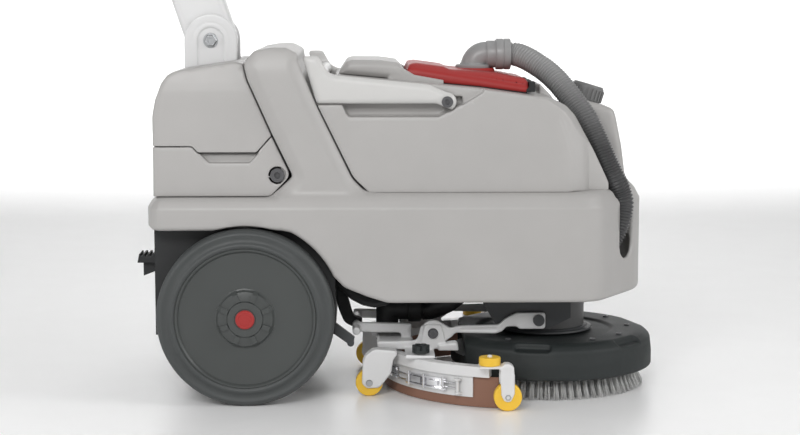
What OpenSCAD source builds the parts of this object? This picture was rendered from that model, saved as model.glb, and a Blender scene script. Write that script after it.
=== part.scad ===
// Walk-behind wet dry floor scrubber with a disc brush, a curved squeegee and two transport wheels.
// X points forward, Y to the machine's left, Z up. The modules are drawn with X = 0 on the wheel axle
// and moved together by place(), so that the origin ends up on the floor below the middle of the box.

/* [Overall] */
// Radius of the transport wheels
wheel_r = 150; // [148:0.5:152]
// Half of the width over the wheels
track_half = 215; // [213:1:218]
// Width of a tyre
tyre_w = 50; // [48:1:52]
// Half of the main body's width
body_half = 200; // [198:1:202]
// Half width of the tank and hood
upper_half = 172; // [170:1:174]
// Height by which the spine stands proud of the tank and hood on each side
spine_proud = 14; // [10:1:15]
// Height of the body's underside in front of the wheels
underside_z = 173; // [170:1:176]

/* [Brush deck] */
// Distance from the wheel axle to the brush axis
brush_x = 524; // [520:1:528]
// Radius of the brush at the floor
brush_r = 178; // [176:1:180]
// Radius of the deck cover
deck_r = 192; // [191:1:194]
// Radius of the brush motor housing
motor_r = 71; // [68:1:73]

/* [Squeegee] */
// Distance from the wheel axle to the centre of the squeegee's arc
sq_x = 472; // [470:1:474]
// Radius of the rear blade
sq_r = 236; // [235:1:237]
// Height of the squeegee's pivot
sq_pivot_z = 128; // [127:1:129]
// Radius of the small yellow castor wheels
castor_r = 23.5; // [23:0.5:24]

/* [Handle] */
// Height of the handle's pivot bolt
pivot_z = 611; // [609:1:613]
// Backward lean of the mast in degrees
lean = 18.5; // [16:0.5:20]
// Length of the mast above its pivot
mast_len = 335; // [320:5:345]

/* [Hidden] */
$fn = 48;

// X of the middle of the machine's box, measured from the axle
origin_x = 226.29;
run = 0.05;                 // radial clearance of a running fit
ledge_z = 351;              // top of the body's vertical sides
seam_z = 356;               // seam between the body and the recovery tank
pivot_x = -66;              // handle pivot
bail_x = 340;               // carry bail pivot
bail_z = 511;
lid_hinge_x = 490;
lid_hinge_z = 531;
sq_pivot_x = 503;
pedal_x = 40;               // pedal pivot
pedal_z = 186;
channel_r0 = sq_r - 10;
channel_r1 = sq_r + 10;
channel_z0 = 53;
channel_z1 = 71;
strap_r1 = sq_r + 4.5;
rear_castor_x = 208;
rear_castor_y = 127;
front_castor_x = 439;
front_castor_y = 246;
roller_x = 409;
roller_y = 238;
hose_r = 21;
elbow_x = 393;              // hose elbow on the lid
elbow_z = 586;
inlet_x = 241;              // suction inlet of the squeegee
lever_tip_x = 176;          // end of the pedal's lever, under the squeegee's lift bar
lever_tip_z = 92;
cap_x = 603;                // centre of the filler cap's top, leaning forward with the riser
cap_y = 25;
cap_z = 532;
cap_tilt = 16.5;

grey = [0.70, 0.69, 0.68];
pale = [0.84, 0.84, 0.83];
dark = [0.19, 0.20, 0.20];
black = [0.09, 0.09, 0.09];
red = [0.72, 0.27, 0.25];
yellow = [0.93, 0.74, 0.15];
silver = [0.80, 0.80, 0.80];
steel = [0.60, 0.61, 0.62];

// ---------- helpers ----------

module place() { translate([-origin_x, 0, 0]) children(); }

module both_sides() {
    children();
    mirror([0, 1, 0]) children();
}

// Side outline [x, z] drawn across the machine from y0 to y1
module side_slab(outline, y0, y1) {
    translate([0, y1, 0]) rotate([90, 0, 0]) linear_extrude(y1 - y0) polygon(outline);
}

// Cylinder across the machine
module cross_rod(x, z, r, y0, y1) {
    translate([x, y0, z]) rotate([-90, 0, 0]) cylinder(r = r, h = y1 - y0);
}

// Box from one corner to the other
module block(low, high) { translate(low) cube(high - low); }

function arc(x, y, r, a0, a1, n) =
    [for (i = [0 : n]) [x + r * cos(a0 + (a1 - a0) * i / n), y + r * sin(a0 + (a1 - a0) * i / n)]];

module rounded_rect(lx, ly, r) {
    square([lx - 2 * r, ly], center = true);
    square([lx, ly - 2 * r], center = true);
    for (sx = [-1, 1], sy = [-1, 1])
        translate([sx * (lx / 2 - r), sy * (ly / 2 - r)]) circle(r);
}

// Sector of a ring around the squeegee's centre; angles are counted from the rear, + to the right
module band(r0, r1, a0, a1, z0, z1) {
    far = 2 * r1;
    translate([sq_x, 0, z0]) linear_extrude(z1 - z0) intersection() {
        difference() {
            circle(r1, $fn = 96);
            circle(r0, $fn = 96);
        }
        polygon(concat([[0, 0]], [for (i = [0 : 4]) let (a = 180 + a0 + (a1 - a0) * i / 4)
            [far * cos(a), far * sin(a)]]));
    }
}

// Tube swept along points, with a ring of sides at each point
function unit(v) = v / norm(v);
function tangent(p, i) = unit(p[min(i + 1, len(p) - 1)] - p[max(i - 1, 0)]);
function ring(p, i, r, sides) = let (
        t = tangent(p, i),
        side = unit(cross(t, abs(t.y) > 0.9 ? [1, 0, 0] : [0, 1, 0])),
        up = cross(side, t)
    ) [for (k = [0 : sides - 1]) p[i] + r * (cos(360 * k / sides) * side + sin(360 * k / sides) * up)];

module tube(points, r, sides = 10) {
    last = len(points) - 1;
    verts = [for (i = [0 : last]) each ring(points, i, r, sides)];
    walls = [for (i = [0 : last - 1], k = [0 : sides - 1]) let (j = (k + 1) % sides)
        [i * sides + k, i * sides + j, (i + 1) * sides + j, (i + 1) * sides + k]];
    start = [[for (k = [0 : sides - 1]) sides - 1 - k]];
    end = [[for (k = [0 : sides - 1]) last * sides + k]];
    polyhedron(verts, concat(start, walls, end));
}

// ---------- main body: solution tank, spine and front riser ----------

// Plan of the body, drawn in by inset
module body_plan(inset = 0) {
    corner = 60 - inset;
    nose = 160 - inset;
    half = body_half - inset;
    right = concat([[-169 + inset, 0], [-166 + inset, -half + 45], [-158 + inset, -half + 12],
        [-146 + inset, -half]], arc(560, -body_half + 60, corner, -90, -33, 6),
        arc(531, 0, nose, -33, 0, 6));
    polygon(concat(right, [for (i = [len(right) - 2 : -1 : 1]) [right[i].x, -right[i].y]]));
}

body_base = concat([[-175, 297], [60, 297]], arc(0, wheel_r, 163, 62, 25, 6),
    [[166, 200], [205, 184], [240, underside_z], [700, underside_z], [700, ledge_z], [-175, ledge_z]]);
spine_outline = [[40, ledge_z - 2], [80, 386], [46, 456], [5, 548], [-2, 576], [17, 597], [45, 602],
    [70, 602], [90, 592], [90, 578], [118, 510], [180, 382], [205, seam_z], [205, ledge_z - 2]];
riser_outline = [[575, ledge_z - 2], [575, 510.5], [634, 493], [640, 488], [644, 474], [654, 426],
    [661, 372], [683, 346], [683, ledge_z - 2]];

module body_outer() {
    intersection() {
        side_slab(body_base, -body_half - 10, body_half + 10);
        translate([0, 0, 160]) linear_extrude(200) body_plan();
    }
    translate([0, 0, ledge_z - 0.01]) linear_extrude(seam_z - ledge_z) intersection() {
        body_plan(14);
        translate([54, -300]) square([640, 600]);
    }
    side_slab(spine_outline, -upper_half, upper_half);
    proud = upper_half + spine_proud;
    translate([0, proud, 0]) rotate([90, 0, 0]) linear_extrude(2 * proud) offset(delta = -12)
        polygon(spine_outline);
    intersection() {
        side_slab(riser_outline, -46, 122);
        translate([0, 0, 300]) linear_extrude(300) body_plan(3);
    }
}

module motor_pocket() {
    intersection() {
        side_slab([[236, 160], [236, 187], [205, 200], [172, 226], [172, 276], [700, 276], [700, 160]],
            -192, 192);
        translate([0, 0, 150]) linear_extrude(200) body_plan(8);
    }
}

module water_space() {
    intersection() {
        side_slab([[76, 303], [156, 303], [156, 284], [700, 284], [700, 348], [76, 348]], -190, 190);
        translate([0, 0, 200]) linear_extrude(200) difference() {
            body_plan(8);
            polygon([[570, -210], [570, -125], [605, -60], [640, -50], [700, -50], [700, -210]]);
        }
    }
    side_slab([[583, 340], [583, 496], [626, 486], [636, 472], [646, 424], [652, 370], [652, 340]],
        -40, 114);
}

module at_cap() { translate([cap_x, cap_y, cap_z]) rotate([0, cap_tilt, 0]) children(); }

module main_body() {
    color(grey) place() difference() {
        union() {
            body_outer();
            at_cap() translate([0, 0, -40]) cylinder(r = 24, h = 33);
            // posts for the rear panel's socket bolts
            both_sides() side_slab([[18, 349], [35, 349], [62, 383], [62, 398], [44, 398], [18, 366]],
                150, 157);
        }
        motor_pocket();
        water_space();
        at_cap() translate([0, 0, -60]) cylinder(r = 19, h = 70);
        // spine is hollow from below
        side_slab([[80, 340], [100, 395], [60, 470], [16, 560], [22, 588], [72, 590], [80, 572], [108, 505],
            [160, 395], [160, 340]], -upper_half + 6, upper_half - 6);
        // wheel wells
        both_sides() cross_rod(0, wheel_r, wheel_r + 4.5, track_half - tyre_w - 6, track_half + 10);
        // seat of the wheel arch liner, room under the rear ledge, and passages for the chassis rails
        block([-200, -150.5, 150], [150.5, 150.5, 297.1]);
        block([-150, -125, 290], [46, 125, 343]);
        both_sides() block([148, 100, 226], [180, 120, 250]);
        // slot that takes the suction hose at the right front corner
        hose_slot();
        both_sides() cross_rod(54, 388, 5, 140, 170);
    }
}

// Upright slot with a round lower end, facing forward and right, wider inside than its mouth
module hose_slot() {
    translate([655, -97, 0]) rotate([0, 0, -32]) {
        translate([-42, -37, 236]) cube([38.1, 61, 172]);
        translate([-4, -30, 262]) cube([50, 52, 150]);
        translate([-4, -4, 262]) rotate([0, 90, 0]) cylinder(r = 26, h = 50);
    }
}

module arch_liner() {
    color(black) place() difference() {
        block([-157, -150, 112], [150, 150, 296.7]);
        block([-153, -146, 116], [146, 146, 300]);
        block([-130, -112, 100], [128, 112, 120]);
        both_sides() cross_rod(0, wheel_r, 13, 140, 160);
        // passages for the chassis rails, the pedal and the feed hose
        both_sides() block([140, 100, 226], [160, 120, 250]);
        block([-160, -146, 168], [-150, -94, 256]);
        block([126, -136, 108], [160, -112, 200]);
        block([140, -100, 180], [160, -62, 220]);
    }
}

module chassis_frame() {
    color(dark) place() difference() {
        union() {
            both_sides() {
                side_slab([[-130, 120], [128, 120], [142, 160], [142, 248], [-130, 248]], 138, 144);
                block([128, 104, 230], [552, 116, 246]);
                side_slab([[385, 246], [405, 160], [430, 116], [520, 110], [560, 130], [560, 246]],
                    96, 101);
                block([395, 100, 232], [560, 105, 240]);
                cross_rod(sq_pivot_x, sq_pivot_z, 6, 96, 113);
                cross_rod(sq_pivot_x, sq_pivot_z, 10, 111.6, 117);
            }
            // battery tray on two cross members
            block([-132, -112, 166], [141, 112, 170]);
            block([-132, -139, 166], [-122, 139, 170]);
            block([131, -139, 166], [141, 139, 170]);
            block([128, -139, 230], [142, 139, 246]);
            // plate that carries the brush motor
            block([440, -110, 240], [552, 110, 246]);
            block([540, -88, 240], [590, 88, 246]);
            both_sides() cross_rod(0, wheel_r, 20, 132, 143);
            cross_rod(pedal_x, pedal_z, 8, -139, -111);
        }
        both_sides() cross_rod(0, wheel_r, 12 + run, 100, 150);
    }
}

module wheel_axle() {
    color(steel) place() {
        cross_rod(0, wheel_r, 12, -track_half + 14, track_half - 14);
        both_sides() cross_rod(0, wheel_r, 17, 152, 162);
    }
}

module rear_panel() {
    outline = [[-156, 352], [42, 352], [76, 387], [44.8, 453], [19.5, 425.5], [-80, 425.5], [-89, 436],
        [-156, 436]];
    room = [[-151, 345], [34, 345], [68, 387], [52, 420], [39, 456], [-151, 456]];
    color(grey) place() difference() {
        union() {
            side_slab(outline, -upper_half, upper_half);
            both_sides() cross_rod(54, 388, 12, upper_half - 14, upper_half - 0.1);
        }
        side_slab(room, -upper_half + 5, upper_half - 5);
        both_sides() block([-72, upper_half - 34, 408], [22, upper_half + 10, 426]);
        both_sides() cross_rod(54, 388, 6, upper_half - 34, upper_half + 10);
        both_sides() cross_rod(54, 388, 15, upper_half - 5, upper_half + 10);
    }
    color(black) place() both_sides()
        difference() {
            block([-76, upper_half - 20, 404], [26, upper_half - 3.2, 425.5]);
            block([-72, upper_half - 16, 408], [22, upper_half + 10, 430]);
        }
}

hood_outline = [[-156, 436.5], [-89, 436.5], [-79.5, 426], [19, 426], [44.6, 454.5], [3.5, 547.5],
    [-3.5, 575], [-18, 579], [-103, 566], [-120, 562], [-130, 556], [-140, 543], [-151, 514], [-156, 488]];
hood_room = [[-151, 420], [52, 420], [39, 455], [-2, 545], [-7, 570], [-18, 573.5], [-102, 561],
    [-118, 557], [-126, 552], [-136, 540], [-146, 513], [-151, 487]];

module rear_hood() {
    color(grey) place() difference() {
        side_slab(hood_outline, -upper_half, upper_half);
        side_slab(hood_room, -upper_half + 5, upper_half - 5);
        // slots for the two ears and clearance for the foot of the mast
        both_sides() block([pivot_x - 48, 31, 540], [pivot_x + 48, 47, 600]);
        cross_rod(pivot_x, pivot_z, 47, -32, 32);
    }
}

// Two upright ears on a foot that stands on the body, with a shallow round-ended recess outside
module handle_clevis() {
    color(pale) place() difference() {
        union() {
            both_sides() {
                block([pivot_x - 46, 33, 470], [pivot_x + 46, 45, pivot_z]);
                cross_rod(pivot_x, pivot_z, 46, 33, 45);
            }
            block([pivot_x - 46, -146, 464], [pivot_x + 46, 146, 474]);
            both_sides() block([pivot_x - 46, 138, ledge_z + 0.3], [pivot_x + 46, 146, 474]);
        }
        both_sides() {
            block([pivot_x - 23, 42.5, 540], [pivot_x + 23, 46, pivot_z]);
            cross_rod(pivot_x, pivot_z, 23, 42.5, 46);
            cross_rod(pivot_x, pivot_z, 8 + run, 30, 50);
        }
    }
}

module battery_pack() {
    color(dark) place() difference() {
        block([-120, -110, 170.5], [120, 110, 285]);
        block([-60, -90, 275], [60, 90, 290]);
    }
}

module suction_motor() {
    color(dark) place() {
        translate([-70, 0, ledge_z + 0.5]) cylinder(r = 62, h = 60);
        translate([-70, 0, ledge_z + 60]) cylinder(r = 46, h = 40);
        block([-70, -20, 370], [30, 20, 400]);
    }
}

module solenoid_valve() {
    color(dark) place() {
        block([180, 80, 236], [230, 100, 275.5]);
        translate([205, 60, 250]) rotate([-90, 0, 0]) cylinder(r = 16, h = 22);
        translate([180, 90, 256]) rotate([0, -90, 0]) cylinder(r = 9, h = 6);
    }
}

feed_route = [[140, -80, 200], [152, -84, 195], [166, -90, 183], [182, -95, 170], [200, -98, 161],
    [218, -97, 157], [236, -93, 160], [252, -86, 170], [268, -76, 186], [282, -64, 204]];

module feed_hose() {
    color(black) place() tube(feed_route, 9, 8);
}

module brush_motor() {
    color(grey) place() difference() {
        translate([brush_x, 0, 97]) cylinder(r = motor_r, h = 142.9, $fn = 96);
        translate([brush_x, 0, 90]) cylinder(r = 15 + run, h = 40);
    }
}

// Low drum over the brush: full skirt in front, cut flat and left open behind
module deck_cover() {
    cut_x = brush_x - 150;
    color([0.16, 0.17, 0.17]) place() intersection() {
        difference() {
            union() {
                translate([brush_x, 0, 36]) cylinder(r = deck_r, h = 48, $fn = 120);
                translate([brush_x, 0, 83.9]) cylinder(r1 = deck_r, r2 = deck_r - 10, h = 9.1, $fn = 120);
                translate([brush_x, 0, 92.9]) cylinder(r = deck_r - 14, h = 3.9, $fn = 120);
            }
            translate([brush_x, 0, 30]) cylinder(r = deck_r - 5, h = 53, $fn = 120);
            translate([brush_x, 0, 80]) cylinder(r = deck_r - 14, h = 8, $fn = 120);
            translate([brush_x, 0, 80]) cylinder(r = 30, h = 30);
        }
        block([cut_x, -300, 30], [900, 300, 120]);
    }
}

module machine_screws() {
    color(black) place() both_sides() {
        cross_rod(54, 388, 5, upper_half - 14, upper_half - 1);
        difference() {
            cross_rod(54, 388, 12, upper_half - 4.9, upper_half + 1);
            cross_rod(54, 388, 5, upper_half - 2, upper_half + 5);
        }
    }
    color(steel) place() {
        cross_rod(pivot_x, pivot_z, 8, -50, 50);
        both_sides() translate([pivot_x, 45.1, pivot_z]) rotate([-90, 0, 0])
            cylinder(r = 11, h = 5, $fn = 6);
        both_sides() {
            cross_rod(bail_x, bail_z, 6, upper_half - 17, upper_half);
            cross_rod(bail_x, bail_z, 10, upper_half - 0.7, upper_half + 3);
        }
        for (a = [-62, -35, 0, 35, 62, 120, -120])
            translate([brush_x + 150 * cos(a), 150 * sin(a), 96.8]) cylinder(r = 5, h = 3);
    }
}

// ---------- recovery tank, lid and bail ----------

tank_outline = [[211, seam_z + 0.6], [183, 384], [121, 510], [148, 511], [148, 550], [154, 555.8],
    [401, 532], [478, 521], [512, 519], [544, 503], [560, 486], [593, 426], [620, 369], [620, seam_z + 0.6]];

// Plan of the tank: two cheeks in front with a bay between them for the riser and the hose
module tank_plan(inset = 0) {
    half = upper_half - inset;
    right = concat([[90, -half], [560 - inset, -half]], arc(545, -upper_half + 40, 40 - inset, -75, -15, 4),
        [[620 - inset, -131 - inset], [620 - inset, -124 + inset], [570 - inset, -122 + inset],
        [570 - inset, 0]]);
    polygon(concat(right, [for (i = [len(right) - 2 : -1 : 0]) [right[i].x, -right[i].y]]));
}

module recovery_tank() {
    color(grey) place() difference() {
        union() {
            intersection() {
                side_slab(tank_outline, -upper_half, upper_half);
                translate([0, 0, 300]) linear_extrude(300) tank_plan();
            }
            // raised seat in front of the lid
            side_slab([[504, 515], [504, 540], [531, 512]], -72, 72);
        }
        // bay for the riser and the hose
        side_slab([[500, 600], [500, 545], [536, 505], [560, 450], [560, 350], [700, 350], [700, 600]],
            -122, 122);
        // dirty water space
        side_slab([[217, 368], [190, 386], [154, 462], [154, 545], [400, 524], [474, 514], [508, 511],
            [518, 511], [530, 501], [554, 448], [554, 368]], -upper_half + 36, upper_half - 36);
        side_slab([[217, 368], [190, 386], [160, 450], [160, 478], [540, 478], [554, 448], [554, 368]],
            -upper_half + 6, upper_half - 6);
        // mouth under the lid
        block([288, -92, 500], [470, 92, 560]);
        // finger recess and flat for the bail on each side
        both_sides() {
            side_slab([[163, 507], [173, 486], [326, 486], [366, 508]], upper_half - 30, upper_half + 5);
            side_slab([[110, 506], [150, 562], [404, 545], [401, 527], [367, 506]],
                upper_half - 12, upper_half + 5);
            cross_rod(bail_x, bail_z, 17, upper_half - 12, upper_half + 5);
            cross_rod(bail_x, bail_z, 6, upper_half - 18, upper_half);
        }
        // seats of the lid's hinge, and room for the lid's front edge as it swings
        both_sides() block([lid_hinge_x - 9, 43, lid_hinge_z - 9], [lid_hinge_x + 9, 57, lid_hinge_z + 30]);
    }
    color(grey) place() both_sides() {
        cheek = [[-6, -22], [6, -22], [6, 5], [-4, 5], [-6, 2]];
        for (y = [37, 57]) translate([lid_hinge_x, 0, lid_hinge_z]) side_slab(cheek, y, y + 6);
        cross_rod(lid_hinge_x, lid_hinge_z, 3, 38, 62);
    }
}

module tank_top_cover() {
    color(grey) place() side_slab([[156, 556], [170, 577], [180, 579.5], [228, 579], [258, 575], [270, 562],
        [270, 545.5]], -118, 118);
}

module tank_lid() {
    top = [[273, 560], [278, 572], [290, 574], [337, 567.5], [347, 563], [424, 557], [478, 547], [483, 540],
        [483, 533], [479, 528.5], [400, 536.5], [273, 548.5]];
    color(red) place() {
        difference() {
            side_slab(top, -104, 104);
            side_slab([[284, 520], [284, 560], [424, 546], [474, 538], [474, 520]], -96, 96);
            translate([393, 0, 500]) cylinder(r = 22 + run, h = 80);
        }
        both_sides() difference() {
            union() {
                cross_rod(lid_hinge_x, lid_hinge_z, 6, 44, 56);
                block([477, 44, lid_hinge_z - 2], [lid_hinge_x, 56, lid_hinge_z + 6]);
            }
            cross_rod(lid_hinge_x, lid_hinge_z, 3 + run, 40, 60);
        }
    }
}

// Dark rubber frame under the lid with a lip around its front edge
module lid_gasket() {
    color(black) place() difference() {
        union() {
            side_slab([[277, 544.7], [277, 548], [400, 536], [481, 528], [481, 521.3], [401, 532.4]],
                -101, 101);
            side_slab([[479, 528], [484, 533.5], [484, 541], [494, 541], [494, 524], [479, 524]],
                -104, 104);
        }
        block([289, -91, 500], [469, 91, 560]);
        both_sides() block([482, 36, 510], [500, 64, 545]);
        both_sides() block([476, 43, 518], [500, 57, 545]);
    }
}

module hose_elbow() {
    color(grey) place() {
        difference() {
            union() {
                translate([elbow_x, 0, 530]) cylinder(r = 22, h = 34);
                translate([elbow_x, 0, 562]) cylinder(r = 31, h = 7);
                translate([elbow_x, 0, 563]) cylinder(r = 22, h = elbow_z - 563);
                translate([elbow_x, 0, elbow_z]) sphere(r = 22);
                translate([elbow_x, 0, elbow_z]) rotate([0, 90, 0]) cylinder(r = 22, h = 23.5);
            }
            block([elbow_x + 23.5, -40, 555], [elbow_x + 40, 40, 575]);
            translate([elbow_x, 0, 520]) cylinder(r = 18, h = elbow_z - 520);
            translate([elbow_x, 0, elbow_z]) sphere(r = 18);
            translate([elbow_x, 0, elbow_z]) rotate([0, 90, 0]) cylinder(r = 18, h = 30);
        }
    }
}

module hose_cuff() {
    color(grey) place() translate([elbow_x + 23.5, 0, elbow_z]) rotate([0, 90, 0]) difference() {
        union() {
            cylinder(r = 24, h = 16.5);
            translate([0, 0, 16]) cylinder(r = 27.5, h = 26.5);
        }
        translate([0, 0, -1]) cylinder(r = 18, h = 50);
        translate([0, 0, 29]) cylinder(r = 22, h = 20);
    }
}

module float_cage() {
    color(pale) place() difference() {
        translate([elbow_x, 0, 468]) cylinder(r = 26, h = 62);
        translate([elbow_x, 0, 472]) cylinder(r = 23, h = 70);
        for (a = [0, 90]) translate([elbow_x, 0, 480]) rotate([0, 0, a])
            translate([-40, -8, 0]) cube([80, 16, 36]);
    }
    color("white") place() translate([elbow_x, 0, 488]) sphere(r = 15.9);
}

module filler_cap() {
    color(dark) place() at_cap() difference() {
        union() {
            translate([0, 0, -28]) cylinder(r = 29, h = 24);
            translate([0, 0, -5]) cylinder(r1 = 29, r2 = 26, h = 5);
            for (k = [0 : 23]) rotate([0, 0, k * 15]) translate([28, -1.6, -27]) cube([3, 3.2, 20]);
        }
        translate([0, 0, -29]) cylinder(r = 24 + run, h = 22.5);
    }
}

// Bail: two side plates joined by a round grip
module carry_bail() {
    plate = concat([[98, 584], [101, 588], [124, 588], [138, 562], [152, 556], [309, 540]],
        arc(bail_x, bail_z, 16, 90, -60, 6), [[322, 508], [121, 508], [118, 516]]);
    color(pale) place() difference() {
        union() {
            both_sides() side_slab(plate, upper_half - 11, upper_half - 1);
            cross_rod(129, 556, 11, -upper_half + 10, upper_half - 10);
        }
        both_sides() cross_rod(bail_x, bail_z, 6 + run, upper_half - 20, upper_half + 5);
    }
}

// ---------- suction hose ----------

upper_route = [[451, 0, 586], [460, -0.2, 586], [467, -2, 585.6], [474, -6, 584], [482, -12, 581],
    [492, -19, 576], [503, -26, 569], [515, -33, 561], [527, -41, 551], [538, -49, 540],
    [548, -56, 528], [558, -63, 515], [568, -70, 501], [578, -77, 487],
    [588, -84, 470], [597, -89, 451], [606, -94, 431], [615, -97, 410], [624, -99, 391]];
middle_route = [[624.2, -99, 390.6], [632.5, -100.9, 373], [642, -98, 352], [647, -98, 334],
    [646, -98, 317], [642, -98, 299], [635, -98, 281], [624, -101, 264], [611, -107, 251],
    [595, -117, 242], [574, -129, 237], [549, -140, 234], [520, -148, 232], [490, -150, 230],
    [460, -150, 226], [434, -148, 218], [412, -143, 207]];
tail_route = [[411.5, -142.9, 206.8], [399.7, -140.2, 200.9], [384, -126, 190], [374, -110, 183],
    [366, -92, 176], [360, -74, 168], [353, -55, 158], [344, -36, 148], [334, -21, 141], [321, -8, 133],
    [306, 0, 130], [295, 0, 130]];

hose_grey = [0.45, 0.45, 0.45];

module hose_upper() { color(hose_grey) place() tube(upper_route, hose_r); }
module hose_middle() { color(hose_grey) place() tube(middle_route, hose_r); }
module hose_tail() { color(black) place() tube(tail_route, hose_r); }

// ---------- wheels, drawn on the left and mirrored ----------

module wheel_profile(points) {
    translate([0, track_half - tyre_w / 2, wheel_r]) rotate([-90, 0, 0])
        rotate_extrude($fn = 120) polygon(points);
}

module tyre() {
    h = tyre_w / 2;
    wheel_profile([[119, -h + 2], [137, -h], [wheel_r - 5, -h + 4], [wheel_r, -h + 12], [wheel_r, h - 12],
        [wheel_r - 5, h - 4], [137, h], [119, h - 2]]);
}

module rim() {
    wheel_profile([[12 + run, -25], [30, -25], [34, 4], [108, 4], [112, -23], [119, -23], [119, 23],
        [114, 25], [109, 19], [50, 15], [46, 24], [33, 26], [16, 26], [16, 15], [12 + run, 15]]);
}

module hub_cap() {
    wheel_profile([[0, 15.5], [16, 15.5], [16, 29], [13, 31], [0, 31]]);
}

module tyre_left() { color(dark) place() tyre(); }
module rim_left() { color(dark) place() rim(); }
module hub_cap_left() { color(red) place() hub_cap(); }
module tyre_right() { color(dark) place() mirror([0, 1, 0]) tyre(); }
module rim_right() { color(dark) place() mirror([0, 1, 0]) rim(); }
module hub_cap_right() { color(red) place() mirror([0, 1, 0]) hub_cap(); }

// ---------- brush ----------

module drive_hub() {
    color(steel) place() {
        translate([brush_x, 0, 58]) cylinder(r = 28, h = 12);
        translate([brush_x, 0, 69]) cylinder(r = 15, h = 50);
    }
}

module brush_block() {
    color(dark) place() difference() {
        translate([brush_x, 0, 40]) cylinder(r = 168, h = 18, $fn = 120);
        translate([brush_x, 0, 30]) cylinder(r = 40, h = 20);
    }
}

module bristles() {
    color("white") place() difference() {
        translate([brush_x, 0, 0]) cylinder(r1 = brush_r, r2 = 166, h = 40, $fn = 120);
        translate([brush_x, 0, -1]) cylinder(r = 60, h = 50);
    }
}

// ---------- squeegee ----------

module squeegee_arms() {
    arm = concat([[300, 92], [296, 118], [306, 125], [347, 125], [360, 133], [440, 135], [455, 146]],
        arc(sq_pivot_x, sq_pivot_z, 17, 110, -70, 8),
        [[478, 116], [462, 117], [440, 119], [347, 116], [340, 92]]);
    color(silver) place() both_sides() difference() {
        side_slab(arm, 103, 111);
        cross_rod(319, 106, 6, 100, 115);
        cross_rod(sq_pivot_x, sq_pivot_z, 6 + run, 100, 115);
    }
}

module squeegee_holder() {
    color(silver) place() difference() {
        union() {
            // cross casting on top of the channel
            block([222, -102.5, 75.5], [285, 102.5, 90]);
            both_sides() {
                side_slab([[252, 75.5], [285, 75.5], [296, 72], [340, 72], [340, 118], [300, 118],
                    [292, 90], [252, 90]],
                    94, 102.5);
                cross_rod(319, 106, 6, 100, 113);
                cross_rod(319, 106, 10, 111.5, 117);
                side_slab([[266, 71.5], [326, 71.5], [326, 79], [266, 82]], 102, 170);
                // rear lift bars
                side_slab([[180, 100], [180, 116], [282, 114], [282, 86], [264, 84], [264, 97]], 64, 72);
            }
            cross_rod(186, 108, 7, -104, 66);
            translate([inlet_x, 0, 88]) cylinder(r = 28, h = 7);
        }
        translate([inlet_x, 0, 60]) cylinder(r = 20, h = 50);
        translate([sq_x, 0, 60]) cylinder(r = channel_r0 - 1, h = 15.4, $fn = 96);
    }
}

module squeegee_channel() {
    color(silver) place() difference() {
        band(channel_r0, channel_r1, -75, 75, channel_z0, channel_z1);
        translate([inlet_x, 0, 40]) cylinder(r = 8, h = 40);
    }
}

module squeegee_blades() {
    color([0.53, 0.40, 0.33]) place() {
        band(sq_r - 1.5, sq_r + 1.5, -78.5, 78.5, 0.6, channel_z0 - 0.2);
        band(sq_r - 9, sq_r - 6, -75, 75, 3, channel_z0 - 0.2);
    }
}

module at_latch_hinge() {
    a = 62;
    translate([sq_x - (strap_r1 + 5.5) * cos(a), -(strap_r1 + 5.5) * sin(a), 0]) children();
}

module blade_strap() {
    color(silver) place() {
        band(sq_r + 1.7, strap_r1, -68, 68, 17, channel_z0 - 0.5);
        at_latch_hinge() {
            for (z = [22, 45]) translate([0, 0, z]) cylinder(r = 6.5, h = 3);
            translate([0, 0, 22]) cylinder(r = 3, h = 26);
        }
    }
}

module strap_latch() {
    color(silver) place() difference() {
        union() {
            band(strap_r1 + 1.5, strap_r1 + 5, 38, 61, 26, 44);
            at_latch_hinge() translate([0, 0, 25.5]) cylinder(r = 5, h = 19);
        }
        at_latch_hinge() translate([0, 0, 20]) cylinder(r = 3 + run, h = 30);
        for (a = [42, 47]) band(strap_r1, strap_r1 + 8, a, a + 2.5, 31, 39);
    }
}

module squeegee_knobs() {
    color(dark) place() both_sides() translate([sq_x - sq_r * cos(42), sq_r * sin(42), 0]) {
        translate([0, 0, 81.2]) cylinder(r = 14, h = 5);
        for (k = [0 : 5]) translate([10 * cos(k * 60), 10 * sin(k * 60), 81.2]) cylinder(r = 5, h = 13);
        translate([0, 0, 81.2]) cylinder(r = 10, h = 13);
    }
}

module castor_brackets() {
    cheek = [[188, 74.9], [252, 74.9], [249, 46], [222, 15], [204, 13], [194, 20]];
    color(silver) place() both_sides() {
        // rear forks
        block([188, rear_castor_y - 12, 71.3], [265.7, rear_castor_y + 12, 75]);
        side_slab(cheek, rear_castor_y - 12, rear_castor_y - 9.5);
        side_slab(cheek, rear_castor_y + 9.5, rear_castor_y + 12);
        cross_rod(rear_castor_x, castor_r, 4, rear_castor_y - 11, rear_castor_y + 11);
        // front forks, which also carry the bumper rollers
        block([392, 222, 71.3], [458, 257, 75]);
        for (y = [front_castor_y - 10.5, front_castor_y + 8.5])
            side_slab([[422, 74], [456, 74], [450, 20], [439, 14], [430, 20]], y, y + 2);
        cross_rod(front_castor_x, castor_r, 4, front_castor_y - 10, front_castor_y + 10);
        translate([roller_x, roller_y, 74]) cylinder(r = 4, h = 19);
        translate([roller_x, roller_y, 90]) cylinder(r = 8, h = 3);
    }
}

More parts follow.
